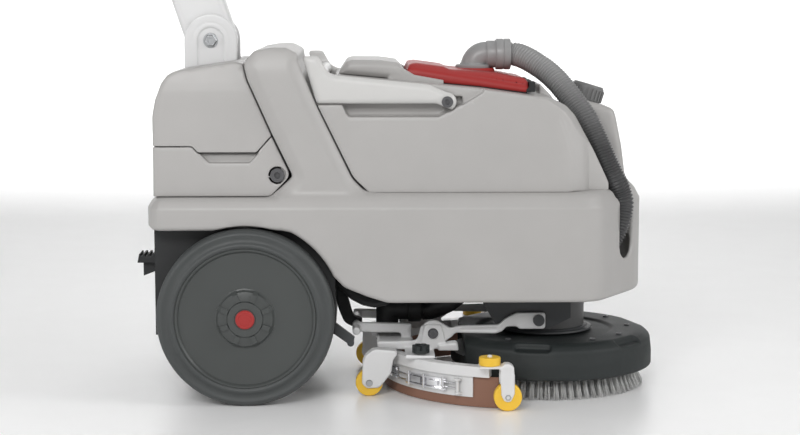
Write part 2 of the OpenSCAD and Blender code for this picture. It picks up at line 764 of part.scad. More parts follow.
module suction_inlet() {
    inlet_z = 130;
    color(dark) place() {
        difference() {
            union() {
                translate([inlet_x, 0, 95.2]) cylinder(r = 28, h = 5);
                translate([inlet_x, 0, 74]) cylinder(r = 20 - run, h = inlet_z - 74);
                translate([inlet_x, 0, inlet_z]) sphere(r = 20 - run);
                translate([inlet_x, 0, inlet_z]) rotate([0, 90, 0]) cylinder(r = 20 - run, h = 58);
                translate([inlet_x + 38, 0, inlet_z]) rotate([0, 90, 0]) cylinder(r = 24, h = 22);
            }
            translate([inlet_x, 0, 70]) cylinder(r = 16, h = inlet_z - 70);
            translate([inlet_x, 0, inlet_z]) sphere(r = 16);
            translate([inlet_x, 0, inlet_z]) rotate([0, 90, 0]) cylinder(r = 16, h = 70);
            translate([inlet_x + 46, 0, inlet_z]) rotate([0, 90, 0]) cylinder(r = 22, h = 20);
        }
    }
}

strap_route = [[186, -20, 117], [184, -20, 130], [178, -20, 146], [170, -20, 160], [164, -20, 172],
    [160, -20, 186], [158, -20, 198]];

module lift_strap() { color(black) place() tube(strap_route, 5, 8); }

module castor_wheel(x, y) {
    place() difference() {
        translate([x, y, castor_r]) rotate([90, 0, 0])
            cylinder(r = castor_r, h = 16, center = true, $fn = 72);
        translate([x, y, castor_r]) rotate([90, 0, 0]) cylinder(r = 4 + run, h = 20, center = true);
    }
}

module rear_castor_right() { color(yellow) castor_wheel(rear_castor_x, -rear_castor_y); }
module rear_castor_left() { color(yellow) castor_wheel(rear_castor_x, rear_castor_y); }
module front_castor_right() { color(yellow) castor_wheel(front_castor_x, -front_castor_y); }
module front_castor_left() { color(yellow) castor_wheel(front_castor_x, front_castor_y); }

module bumper_roller(y) {
    color(yellow) place() difference() {
        translate([roller_x, y, 75.5]) cylinder(r = 18, h = 14);
        translate([roller_x, y, 70]) cylinder(r = 4 + run, h = 30);
    }
}

module bumper_roller_right() { bumper_roller(-roller_y); }
module bumper_roller_left() { bumper_roller(roller_y); }

// ---------- pedal ----------

module pedal_arm() {
    lever = concat([[-150, 226], [-150, 236], [-60, 224]], arc(pedal_x, pedal_z, 18, 100, -10, 6),
        [[110, 158], [183, 102], [lever_tip_x, lever_tip_z - 4], [100, 142]],
        arc(pedal_x, pedal_z, 18, -80, -110, 2), [[-60, 208]]);
    color(dark) place() difference() {
        union() {
            side_slab(lever, -130, -118);
            cross_rod(pedal_x, pedal_z, 18, -134, -114);
            cross_rod(lever_tip_x, lever_tip_z, 6, -130, -78);
        }
        cross_rod(pedal_x, pedal_z, 8 + run, -140, -100);
    }
}

module pedal_pad() {
    color(black) place() difference() {
        union() {
            side_slab([[-187, 236], [-184, 251], [-150, 251], [-147, 236.2]], -145, -97);
            side_slab([[-178, 212], [-178, 240], [-152, 240], [-152, 222]], -134, -114);
        }
        for (x = [-182, -174, -166, -158]) block([x, -151, 247], [x + 4, -90, 252]);
        side_slab([[-151, 225], [-151, 236], [-140, 235], [-140, 224]], -131, -117);
    }
}

// ---------- handle, drawn upright on its pivot ----------

module on_handle() {
    place() translate([pivot_x, 0, pivot_z]) rotate([0, -lean, 0]) children();
}

module handle_mast() {
    color(pale) on_handle() difference() {
        union() {
            linear_extrude(mast_len) rounded_rect(88, 60, 14);
            rotate([90, 0, 0]) cylinder(r = 43, h = 60, center = true);
        }
        rotate([90, 0, 0]) cylinder(r = 8 + run, h = 100, center = true);
        translate([0, 0, 60]) linear_extrude(mast_len) rounded_rect(78, 50, 10);
    }
}

console_outline = [[-62, 8], [-70, 40], [-52, 78], [20, 62], [48, 30], [48, 0], [-44, 0]];

module console() {
    color(dark) on_handle() translate([0, 0, mast_len]) difference() {
        side_slab(console_outline, -84, 84);
        side_slab([[-56, 12], [-63, 40], [-48, 70], [16, 56], [41, 28], [41, 6], [-44, 6]], -79, 79);
        translate([10, -90, 38]) rotate([-90, 0, 0]) cylinder(r = 15, h = 180);
        translate([30, -90, 12]) rotate([-90, 0, 0]) cylinder(r = 6 + run, h = 180);
        panel_at(-24) cylinder(r = 9 + run, h = 30, center = true);
        panel_at(24) cylinder(r = 10 + run, h = 30, center = true);
    }
}

// A spot on the console's sloping panel
module panel_at(y) {
    translate([-60, y, 60]) rotate([0, -64.6, 0]) children();
}

module handlebar() {
    color(steel) on_handle() translate([10, 0, mast_len + 38]) rotate([90, 0, 0])
        cylinder(r = 15, h = 392, center = true);
}

module hand_grips() {
    color(black) on_handle() translate([10, 0, mast_len + 38]) both_sides() rotate([-90, 0, 0]) difference() {
        translate([0, 0, 96]) cylinder(r = 18.5, h = 104);
        translate([0, 0, 90]) cylinder(r = 15, h = 106);
    }
}

module trigger_lever() {
    color(red) on_handle() translate([30, 0, mast_len + 12]) {
        rotate([90, 0, 0]) cylinder(r = 6, h = 186, center = true);
        both_sides() {
            side_slab([[-5, 0], [-5, 4], [16, 42], [24, 40], [6, -2]], 86, 93);
            translate([20, 86, 38]) rotate([-90, 0, 0]) cylinder(r = 6, h = 100);
        }
    }
}

module key_switch() {
    color(black) on_handle() translate([0, 0, mast_len]) panel_at(-24) {
        translate([0, 0, -12]) cylinder(r = 9, h = 18);
        translate([-2.5, -8, 5]) cube([5, 16, 10]);
    }
}

module start_button() {
    color("green") on_handle() translate([0, 0, mast_len]) panel_at(24)
        translate([0, 0, -12]) cylinder(r = 10, h = 18);
}

chassis_frame();
arch_liner();
wheel_axle();
main_body();
rear_panel();
rear_hood();
machine_screws();
handle_clevis();
battery_pack();
suction_motor();
solenoid_valve();
feed_hose();
brush_motor();
deck_cover();
recovery_tank();
tank_top_cover();
hose_upper();
hose_middle();
tank_lid();
lid_gasket();
hose_elbow();
hose_cuff();
float_cage();
filler_cap();
carry_bail();
tyre_right();
rim_right();
hub_cap_right();
tyre_left();
rim_left();
hub_cap_left();
drive_hub();
brush_block();
bristles();
squeegee_arms();
squeegee_holder();
squeegee_channel();
squeegee_blades();
blade_strap();
strap_latch();
squeegee_knobs();
castor_brackets();
suction_inlet();
hose_tail();
lift_strap();
rear_castor_right();
rear_castor_left();
front_castor_right();
front_castor_left();
bumper_roller_right();
bumper_roller_left();
pedal_arm();
pedal_pad();
handle_mast();
handlebar();
hand_grips();
console();
trigger_lever();
key_switch();
start_button();
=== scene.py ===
"""Walk-behind wet dry floor scrubber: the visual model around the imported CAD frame.

Shapes are written in millimetres with X = 0 on the wheel axle, X forward, Y to the machine's left and
Z up. to_row() turns them into the row frame in metres. The big moulded shells are distance fields on
a grid, so that every edge gets a real radius; turned, swept and small parts are built directly.
"""

import random
from math import acos, cos, pi, radians, sin, sqrt, tan

import bpy
import numpy as np
import openvdb
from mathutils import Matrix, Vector


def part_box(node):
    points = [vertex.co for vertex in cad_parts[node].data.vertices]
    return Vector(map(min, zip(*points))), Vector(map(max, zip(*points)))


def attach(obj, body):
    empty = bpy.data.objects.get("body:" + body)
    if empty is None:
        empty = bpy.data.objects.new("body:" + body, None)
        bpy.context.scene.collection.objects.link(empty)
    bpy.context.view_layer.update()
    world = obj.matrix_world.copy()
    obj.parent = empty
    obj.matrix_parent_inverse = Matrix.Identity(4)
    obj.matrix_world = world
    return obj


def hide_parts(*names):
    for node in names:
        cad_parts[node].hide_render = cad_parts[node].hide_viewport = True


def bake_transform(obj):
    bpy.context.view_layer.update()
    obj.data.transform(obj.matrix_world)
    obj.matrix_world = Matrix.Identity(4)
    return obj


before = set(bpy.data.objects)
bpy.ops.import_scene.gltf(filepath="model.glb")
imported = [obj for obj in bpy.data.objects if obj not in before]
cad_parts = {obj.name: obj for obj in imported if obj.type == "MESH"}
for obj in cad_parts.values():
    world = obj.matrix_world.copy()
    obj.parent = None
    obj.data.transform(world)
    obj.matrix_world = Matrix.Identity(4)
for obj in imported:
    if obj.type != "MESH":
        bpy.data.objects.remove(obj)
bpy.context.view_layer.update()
MM = 0.001
low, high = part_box("wheel_axle")
AXLE = (low.x + high.x) / 2 / MM  # where the wheel axle is in the row frame
random.seed(7)

WHEEL_Y, WHEEL_Z = 190, 150
BODY_HALF, UPPER_HALF, SPINE_HALF = 200, 172, 186  # half widths: body, tank and covers, spine
LEDGE_Z, SEAM_Z = 351, 356.3  # top of the body under the rear panel and under the tank
WALL = 5  # of the covers and the recovery tank
BRUSH_X = 524
SQUEEGEE_X = 472  # middle of the curve of the blades
PIVOT_X, PIVOT_Z = -66, 611  # clevis pin
BAIL_X, BAIL_Z = 340, 511  # screw that the carry bail turns on
BOLT_X, BOLT_Z = 54, 388  # bolt through the side of the rear panel
LID_HINGE_X, LID_HINGE_Z = 490, 531
ELBOW_X, CUFF_Z = 393, 586  # upright and level leg of the hose elbow
REAR_CASTOR_X, FRONT_CASTOR_X, CASTOR_Z = 208, 439, 23.5
SHELL_DETAIL = 0.012  # how far flat areas of a shell are simplified


def to_row(points):
    return (np.asarray(points, float) + [AXLE, 0, 0]) * MM


# ---- camera, lights and floor ----

def make_camera():
    """The photo's camera, to the machine's right, looking down and a little forward."""
    down, forward = 7.1, 1.2
    camera = bpy.data.objects.new("camera", bpy.data.cameras.new("camera"))
    bpy.context.scene.collection.objects.link(camera)
    camera.location = to_row([199, -3106, 681.6])
    camera.rotation_euler = (radians(90 - down), 0, radians(-forward))
    camera.data.lens = 78.75
    camera.data.sensor_width = 36
    bpy.context.scene.camera = camera


def area_light(name, place, target, size, power):
    lamp = bpy.data.lights.new(name, "AREA")
    lamp.shape, lamp.size, lamp.size_y, lamp.energy = "RECTANGLE", size[0], size[1], power
    light = bpy.data.objects.new(name, lamp)
    bpy.context.scene.collection.objects.link(light)
    light.location = place
    light.rotation_euler = (Vector(target) - Vector(place)).to_track_quat("-Z", "Y").to_euler()


def set_inputs(node, **values):
    """Sets a shader node's inputs; an underscore in a name stands for a space."""
    for name, value in values.items():
        node.inputs[name.replace("_", " ")].default_value = value
    return node


def make_studio():
    world = bpy.data.worlds.new("world")
    bpy.context.scene.world = world
    world.use_nodes = True
    # the soft light is brighter from the sides than from above
    nodes, links = world.node_tree.nodes, world.node_tree.links
    set_inputs(nodes["Background"], Color=(1, 1, 1, 1))
    coords, split = nodes.new("ShaderNodeTexCoord"), nodes.new("ShaderNodeSeparateXYZ")
    span = set_inputs(nodes.new("ShaderNodeMapRange"), To_Min=0.5, To_Max=0.16)
    links.new(coords.outputs["Generated"], split.inputs[0])
    links.new(split.outputs["Z"], span.inputs["Value"])
    links.new(span.outputs["Result"], nodes["Background"].inputs["Strength"])
    bpy.context.scene.view_settings.view_transform = "Standard"
    area_light("key", (-0.7, -3.0, 2.0), (0, 0, 0.3), (1.6, 1.0), 48)
    area_light("top", (0.5, 0.4, 2.8), (0, 0, 0.3), (2.4, 1.6), 8)
    area_light("front", (2.9, -1.3, 1.7), (0.1, 0, 0.3), (1.0, 1.6), 30)
    area_light("left", (-2.6, -1.2, 1.0), (-0.2, -0.2, 0.2), (0.5, 1.4), 10)
    area_light("backdrop", (0, 4.0, 3.4), (0, 8, 1.5), (8, 2), 330)
    # the floor sweeps up far behind the machine
    section = [(-9, 0)] + [(6 + 2 * sin(a), 2 - 2 * cos(a))
                           for a in np.linspace(0, pi / 2, 12)] + [(8, 9)]
    verts = [(x, y, z - 0.0005) for y, z in section for x in (-12, 12)]
    faces = [(2 * i, 2 * i + 1, 2 * i + 3, 2 * i + 2) for i in range(len(section) - 1)]
    mesh = bpy.data.meshes.new("floor")
    mesh.from_pydata(verts, [], faces)
    mesh.shade_smooth()
    floor = bpy.data.objects.new("floor", mesh)
    bpy.context.scene.collection.objects.link(floor)
    paint = material("floor_paint", (252, 252, 252), 0.35, grain=(40, 0.02), mottle=0.01)
    mesh.materials.append(paint)


# ---- materials ----

def linear(rgb):
    return tuple(c / 255 / 12.92 if c < 10.3 else ((c / 255 + 0.055) / 1.055) ** 2.4 for c in rgb)


MATERIALS = {}


def material(name, rgb, roughness, metallic=0.0, grain=(900, 0.04), mottle=0.05, stretch=(1, 1, 1),
             edge_wear_and_highlight=0.0, coat=0.0, painted_light_by_height=None, glow=0.0):
    """Procedural finish. grain is the bump's (scale, strength), mottle the share by which the colour
    varies, stretch the directions in which the grain is drawn out, edge_wear_and_highlight how far edges
    lighten, partly as wear and partly as painted highlight, and painted_light_by_height a second, lighter
    colour with the two heights, in metres, between which the first turns into it: painted light higher up
    and painted shade lower down."""
    if name in MATERIALS:
        return MATERIALS[name]
    mat = bpy.data.materials.new(name)
    mat.use_nodes = True
    nodes, links = mat.node_tree.nodes, mat.node_tree.links
    shader = nodes["Principled BSDF"]
    set_inputs(shader, Metallic=metallic)
    if coat:
        set_inputs(shader, Coat_Weight=coat, Coat_Roughness=0.15)
    if glow:
        set_inputs(shader, Subsurface_Weight=glow, Subsurface_Scale=0.01, Subsurface_Radius=(1, 1, 1))
    coords = nodes.new("ShaderNodeTexCoord")
    base = linear(rgb)

    def noise(scale, detail, drawn=(1, 1, 1)):
        mapping = set_inputs(nodes.new("ShaderNodeMapping"), Scale=drawn)
        links.new(coords.outputs["Object"], mapping.inputs["Vector"])
        node = set_inputs(nodes.new("ShaderNodeTexNoise"), Scale=scale, Detail=detail)
        links.new(mapping.outputs["Vector"], node.inputs["Vector"])
        return node.outputs["Fac"]

    def ramp(source, stops):
        node = nodes.new("ShaderNodeValToRGB")
        while len(node.color_ramp.elements) < len(stops):
            node.color_ramp.elements.new(0.5)
        for element, (position, colour) in zip(node.color_ramp.elements, stops):
            element.position, element.color = position, (*colour, 1)
        links.new(source, node.inputs["Fac"])
        return node.outputs["Color"]

    def mix(factor, a, b):
        node = nodes.new("ShaderNodeMix")
        node.data_type = "RGBA"
        for socket, value in ((node.inputs[0], factor), (node.inputs[6], a), (node.inputs[7], b)):
            if isinstance(value, bpy.types.NodeSocket):
                links.new(value, socket)
            else:
                socket.default_value = value
        return node.outputs[2]

    def shades(colour):
        return [(0.3, tuple(c * (1 - mottle) for c in colour)),
                (0.7, tuple(min(c * (1 + mottle), 1) for c in colour))]

    blotches = noise(scale=9, detail=4)
    colour = ramp(blotches, shades(base))
    # painted light: the colour turns into a lighter one with height, so upper parts are painted lighter and
    # lower parts darker, as painted shade
    if painted_light_by_height:
        lit_rgb, start, end = painted_light_by_height
        split = nodes.new("ShaderNodeSeparateXYZ")
        links.new(coords.outputs["Object"], split.inputs[0])
        span = set_inputs(nodes.new("ShaderNodeMapRange"), From_Min=start, From_Max=end)
        links.new(split.outputs["Z"], span.inputs["Value"])
        colour = mix(span.outputs["Result"], colour, ramp(blotches, shades(linear(lit_rgb))))
    # edges are painted lighter by their pointiness: partly wear, partly a painted highlight on the edges
    if edge_wear_and_highlight:
        geometry = nodes.new("ShaderNodeNewGeometry")
        edge = ramp(geometry.outputs["Pointiness"], [(0.52, (0, 0, 0)), (0.60, (edge_wear_and_highlight, edge_wear_and_highlight, edge_wear_and_highlight))])
        lightening = 0.35
        lighter = tuple(c + (1 - c) * lightening for c in base)
        colour = mix(edge, colour, (*lighter, 1))
    links.new(colour, shader.inputs["Base Color"])
    spread = 0.07
    gloss = set_inputs(nodes.new("ShaderNodeMapRange"), To_Min=max(roughness - spread, 0.02),
                       To_Max=min(roughness + spread, 1))
    links.new(noise(scale=35, detail=6, drawn=stretch), gloss.inputs["Value"])
    links.new(gloss.outputs["Result"], shader.inputs["Roughness"])
    bump = set_inputs(nodes.new("ShaderNodeBump"), Strength=grain[1] * 5, Distance=0.0004)
    links.new(noise(grain[0], detail=3, drawn=stretch), bump.inputs["Height"])
    links.new(bump.outputs["Normal"], shader.inputs["Normal"])
    MATERIALS[name] = mat
    return mat


# Colour, roughness and the other settings of material() for each finish.
FINISHES = {
    "grey_plastic": ((178, 176, 174), 0.42, dict(grain=(650, 0.05), mottle=0.025)),
    "pale_coat": ((226, 226, 226), 0.36, dict(grain=(1200, 0.05), mottle=0.015)),
    "white_plastic": ((228, 228, 224), 0.45, {}),
    "red_plastic": ((164, 42, 40), 0.45, dict(grain=(700, 0.05), mottle=0.04)),
    "dark_plastic": ((36, 41, 41), 0.6, dict(grain=(800, 0.09), mottle=0.08)),
    "liner_plastic": ((40, 41, 42), 0.55, dict(grain=(600, 0.08), mottle=0.1)),
    "wheel_plastic": ((70, 73, 72), 0.34, dict(grain=(800, 0.05))),
    # edges painted lighter, partly as wear and partly as painted highlight
    "dark_coat": ((62, 64, 66), 0.5, dict(grain=(900, 0.08), edge_wear_and_highlight=0.3)),
    "motor_coat": ((100, 100, 100), 0.4, dict(grain=(1000, 0.05))),
    "cap_grey": ((122, 122, 122), 0.4, dict(grain=(900, 0.06))),
    "steel": ((188, 190, 192), 0.3, dict(metallic=1.0, grain=(300, 0.06), stretch=(1, 1, 12))),
    "screws": ((92, 92, 94), 0.35, dict(metallic=0.3, grain=(900, 0.06))),
    # edges painted lighter, partly as wear and partly as painted highlight
    "cast_silver": ((228, 228, 228), 0.38, dict(metallic=0.1, grain=(1100, 0.14), mottle=0.04, edge_wear_and_highlight=0.4)),
    "latch_chrome": ((225, 225, 228), 0.12, dict(metallic=1.0, grain=(300, 0.03))),
    "tyre_rubber": ((70, 73, 73), 0.45, dict(grain=(1500, 0.12), mottle=0.06)),
    "black_rubber": ((34, 35, 36), 0.6, dict(grain=(1200, 0.15), mottle=0.12)),
    "blade_rubber": ((138, 100, 82), 0.5, dict(grain=(1200, 0.08), mottle=0.06)),
    # the suction hose is painted lighter towards its top as painted light, and darker lower down as painted
    # shade
    "hose_grey": ((66, 66, 67), 0.35, dict(grain=(900, 0.05), mottle=0.06,
        painted_light_by_height=((150, 150, 150), 0.43, 0.575))),
    "hose_light": ((150, 150, 150), 0.35, dict(grain=(900, 0.05), mottle=0.04)),
    "strap_silver": ((226, 226, 226), 0.36, dict(metallic=0.2, grain=(300, 0.05), stretch=(1, 1, 10),
        mottle=0.04)),
    "bail_plastic": ((207, 206, 204), 0.36, dict(grain=(700, 0.05), mottle=0.02)),
    "hose_black": ((30, 31, 32), 0.35, dict(grain=(900, 0.06))),
    "webbing": ((30, 31, 32), 0.7, dict(grain=(500, 0.4), stretch=(1, 3, 1))),
    "yellow_plastic": ((246, 199, 62), 0.4, dict(grain=(900, 0.06))),
    "bristle_fibre": ((238, 238, 236), 0.5, dict(grain=(400, 0.1), stretch=(4, 4, 0.3), mottle=0.04,
        glow=0.6)),
    "green_plastic": ((60, 150, 70), 0.25, dict(coat=0.6)),
}


def finish_of(name):
    rgb, roughness, settings = FINISHES[name]
    return material(name, rgb, roughness, **settings)


# ---- mesh helpers ----

def add_piece(name, verts, faces, body, slot, replaces=(), sharp=35, normals=None):
    """A new piece from points in the axle frame, with the slot's material."""
    mesh = bpy.data.meshes.new(name)
    mesh.from_pydata(to_row(verts).tolist(), [], [tuple(int(i) for i in f) for f in faces])
    mesh.validate()
    mesh.shade_smooth()
    if normals is not None:
        mesh.normals_split_custom_set_from_vertices(normals.tolist())
    elif sharp:
        mesh.set_sharp_from_angle(angle=radians(sharp))
    piece = bpy.data.objects.new(name, mesh)
    bpy.context.scene.collection.objects.link(piece)
    mesh.materials.append(finish_of(slot))
    if replaces:
        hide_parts(*replaces)
    if body:
        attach(piece, body)
    return piece


def soften(node, width=1.0, segments=2, angle=35):
    """Rounds the edges of a CAD node that stays in view."""
    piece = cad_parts[node]
    weld = piece.modifiers.new("weld", "WELD")
    weld.merge_threshold = 0.00002
    bevel = piece.modifiers.new("bevel", "BEVEL")
    bevel.width = width * MM
    bevel.segments = segments
    bevel.limit_method = "ANGLE"
    bevel.angle_limit = radians(angle)
    bevel.harden_normals = False
    piece.data.shade_smooth()
    smooth = piece.modifiers.new("normals", "WEIGHTED_NORMAL")
    smooth.keep_sharp = True


def joined(parts):
    """(verts, faces) of several parts in one."""
    verts, faces = [], []
    for v, f in parts:
        faces += [tuple(i + len(verts) for i in face) for face in f]
        verts += [tuple(p) for p in v]
    return verts, faces


def lathe(profile, sides, centre, axis="z", flip=False):
    """Closed profile [radius, height] turned about an axis through centre."""
    verts, faces = [], []
    n = len(profile)
    for k in range(sides):
        a = 2 * pi * k / sides
        c, s = cos(a), sin(a)
        for r, h in profile:
            h = -h if flip else h
            local = {"z": (r * c, r * s, h), "y": (r * c, h, r * s), "x": (h, r * c, r * s)}[axis]
            verts.append([centre[i] + local[i] for i in range(3)])
    for k in range(sides):
        for i in range(n):
            a, b = k * n + i, k * n + (i + 1) % n
            c, d = (k + 1) % sides * n + (i + 1) % n, (k + 1) % sides * n + i
            faces.append((a, b, c, d))
    return verts, faces


def smooth_path(points, spacing):
    """Points about spacing apart on a smooth curve through the given points."""
    p = np.asarray(points, float)
    p = np.vstack([2 * p[0] - p[1], p, 2 * p[-1] - p[-2]])
    out = []
    for i in range(1, len(p) - 2):
        steps = max(2, int(np.linalg.norm(p[i + 1] - p[i]) / 1.0))
        t = np.linspace(0, 1, steps, endpoint=False)[:, None]
        out.append(0.5 * (2 * p[i] + (p[i + 1] - p[i - 1]) * t
                          + (2 * p[i - 1] - 5 * p[i] + 4 * p[i + 1] - p[i + 2]) * t ** 2
                          + (3 * p[i] - p[i - 1] - 3 * p[i + 1] + p[i + 2]) * t ** 3))
    dense = np.vstack(out + [p[-2:-1]])
    length = np.concatenate([[0], np.cumsum(np.linalg.norm(np.diff(dense, axis=0), axis=1))])
    s = np.linspace(0, length[-1], max(2, int(round(length[-1] / spacing)) + 1))
    return np.stack([np.interp(s, length, dense[:, k]) for k in range(3)], 1), s


def sweep(points, radii, sides, caps=True):
    """Tube along points with a radius at each."""
    p = np.asarray(points, float)
    t = np.gradient(p, axis=0)
    t /= np.linalg.norm(t, axis=1)[:, None]
    side = np.cross(t[0], [0, 0, 1.0] if abs(t[0][2]) < 0.9 else [0, 1.0, 0])
    side /= np.linalg.norm(side)
    angles = np.linspace(0, 2 * pi, sides, endpoint=False)
    verts = []
    for i in range(len(p)):
        side = side - t[i] * np.dot(side, t[i])
        side /= np.linalg.norm(side)
        up = np.cross(t[i], side)
        verts.append(p[i] + radii[i] * (np.cos(angles)[:, None] * side + np.sin(angles)[:, None] * up))
    verts = np.vstack(verts)
    faces = []
    for i in range(len(p) - 1):
        for k in range(sides):
            a, b = i * sides + k, i * sides + (k + 1) % sides
            faces.append((a, b, b + sides, a + sides))
    if caps:
        faces.append(tuple(range(sides))[::-1])
        faces.append(tuple((len(p) - 1) * sides + k for k in range(sides)))
    return verts.tolist(), faces


# ---- distance fields ----

def fillet(points, radius, steps=6):
    """Outline with rounded corners; radius is one number, or one for each point."""
    n = len(points)
    radii = [radius] * n if np.isscalar(radius) else radius
    out = []
    for i in range(n):
        p, a, b = (np.array(points[k], float) for k in (i, i - 1, (i + 1) % n))
        u, v = a - p, b - p
        lu, lv = np.linalg.norm(u), np.linalg.norm(v)
        u, v = u / lu, v / lv
        half = acos(max(-1, min(1, float(np.dot(u, v))))) / 2
        reach = min(radii[i] / tan(half), 0.48 * lu, 0.48 * lv) if radii[i] and half < 1.56 else 0
        if reach < 0.05:
            out.append(tuple(p))
            continue
        for t in np.linspace(0, 1, steps + 1):
            q = (1 - t) ** 2 * (p + u * reach) + 2 * t * (1 - t) * p + t ** 2 * (p + v * reach)
            out.append(tuple(q))
    return out


def outline_distance(points, u, v):
    """Signed distance to a closed outline in the plane of the arrays u and v, negative inside."""
    p = np.asarray(points, np.float32)
    best, inside = None, None
    for a, b in zip(p, np.roll(p, -1, 0)):
        e = b - a
        if not e.any():
            continue
        wu, wv = u - a[0], v - a[1]
        t = np.clip((wu * e[0] + wv * e[1]) / float(e @ e), 0, 1)
        d = (wu - e[0] * t) ** 2 + (wv - e[1] * t) ** 2
        best = d if best is None else np.minimum(best, d)
        if e[1]:
            hit = ((a[1] > v) != (b[1] > v)) & (u < a[0] + (v - a[1]) * (e[0] / e[1]))
            inside = hit if inside is None else inside ^ hit
    best = np.sqrt(best)
    return np.where(inside, -best, best)


def meet(a, b, r=3.0):
    """Intersection of two fields with the outer edge rounded to radius r."""
    return np.minimum(np.maximum(a, b) + r, 0) + np.hypot(np.maximum(a + r, 0), np.maximum(b + r, 0)) - r


both, either = np.maximum, np.minimum  # meet and join without a rounded edge


def join(a, b, r=3.0):
    return -meet(-a, -b, r)


def cut(a, b, r=2.0):
    return meet(a, -b, r)


class Space:
    """Grid over a block of space, in the axle frame."""

    def __init__(self, low, high, step):
        self.low, self.step = np.array(low, float), step
        x, y, z = (np.arange(a, b + step, step, dtype=np.float32) for a, b in zip(low, high))
        self.x, self.y, self.z = x[:, None, None], y[None, :, None], z[None, None, :]
        self.shape = (len(x), len(y), len(z))
        self.across = np.abs(self.y)

    def side(self, outline, rounding=0):
        """Field of an outline seen from the side, endless across the machine."""
        return outline_distance(fillet(outline, rounding), self.x, self.z)

    def plan(self, outline):
        return outline_distance(outline, self.x, self.y)

    def rod(self, x, z, r):
        """Endless cylinder across the machine."""
        return np.hypot(self.x - x, self.z - z) - r

    def pair(self, y, half):
        """Two plates across the machine, one on each side at y."""
        return np.abs(self.across - y) - half

    def between(self, y0, y1):
        return np.abs(self.y - (y0 + y1) / 2) - (y1 - y0) / 2

    def box(self, lo, hi, r=2.0):
        mid, half = (np.array(lo) + hi) / 2, (np.array(hi) - lo) / 2
        q = [np.abs(c - m) - h + r for c, m, h in zip((self.x, self.y, self.z), mid, half)]
        inside = np.minimum(np.maximum(np.maximum(q[0], q[1]), q[2]), 0)
        return inside + np.sqrt(sum(np.maximum(k, 0) ** 2 for k in q)) - r


def shell(name, space, field, body, slot, replaces=()):
    """Mesh of the field's zero surface, with normals taken from the field itself."""
    field = np.broadcast_to(field, space.shape).astype(np.float32)
    band = 3.0 * space.step
    grid = openvdb.FloatGrid(band)
    grid.copyFromArray(np.ascontiguousarray(np.clip(field, -band, band)))
    points, triangles, quads = grid.convertToPolygons(0.0, SHELL_DETAIL)
    # normals: central differences at the points
    i = np.clip(np.floor(points).astype(int), 1, np.array(space.shape) - 3)
    f = points - i
    normals = np.zeros_like(points)
    for axis in range(3):
        total = 0
        for corner in np.ndindex(2, 2, 2):
            weight = np.prod([f[:, k] if corner[k] else 1 - f[:, k] for k in range(3)], axis=0)
            a, b = [i[:, k] + corner[k] for k in range(3)], [i[:, k] + corner[k] for k in range(3)]
            a[axis], b[axis] = a[axis] + 1, b[axis] - 1
            total = total + weight * (field[tuple(a)] - field[tuple(b)])
        normals[:, axis] = total
    normals /= np.maximum(np.linalg.norm(normals, axis=1), 1e-9)[:, None]
    verts = space.low + points * space.step
    faces = [tuple(q) for q in quads[:, ::-1]] + [tuple(t) for t in triangles[:, ::-1]]
    q = quads[:, ::-1][:200] if len(quads) else triangles[:, ::-1][:200]
    made = np.cross(verts[q[:, 1]] - verts[q[:, 0]], verts[q[:, 2]] - verts[q[:, 0]])
    if (np.sum(made * normals[q[:, 0]], axis=1)).mean() < 0:
        faces = [face[::-1] for face in faces]
    return add_piece(name, verts, faces, body, slot, replaces, normals=normals)


def facet(edge, face, run, drop):
    """Chamfer that takes run off the side face and drop off the wall round it."""
    return (drop * (edge + run) + run * face) / np.hypot(run, drop)


def arc(x, y, r, start, end, steps):
    angles = np.radians(np.linspace(start, end, steps + 1))
    return [(x + r * cos(a), y + r * sin(a)) for a in angles]


# ---- main body ----

def body_plan(inset=0):
    """Outline of the body seen from above."""
    half = BODY_HALF - inset
    right = [(-169 + inset, 0), (-166 + inset, 45 - half), (-158 + inset, 12 - half), (-146 + inset, -half)]
    right += arc(560, 60 - BODY_HALF, 60 - inset, -90, -33, 8) + arc(531, 0, 160 - inset, -33, 0, 8)
    return right + [(x, -y) for x, y in right[-2:0:-1]]


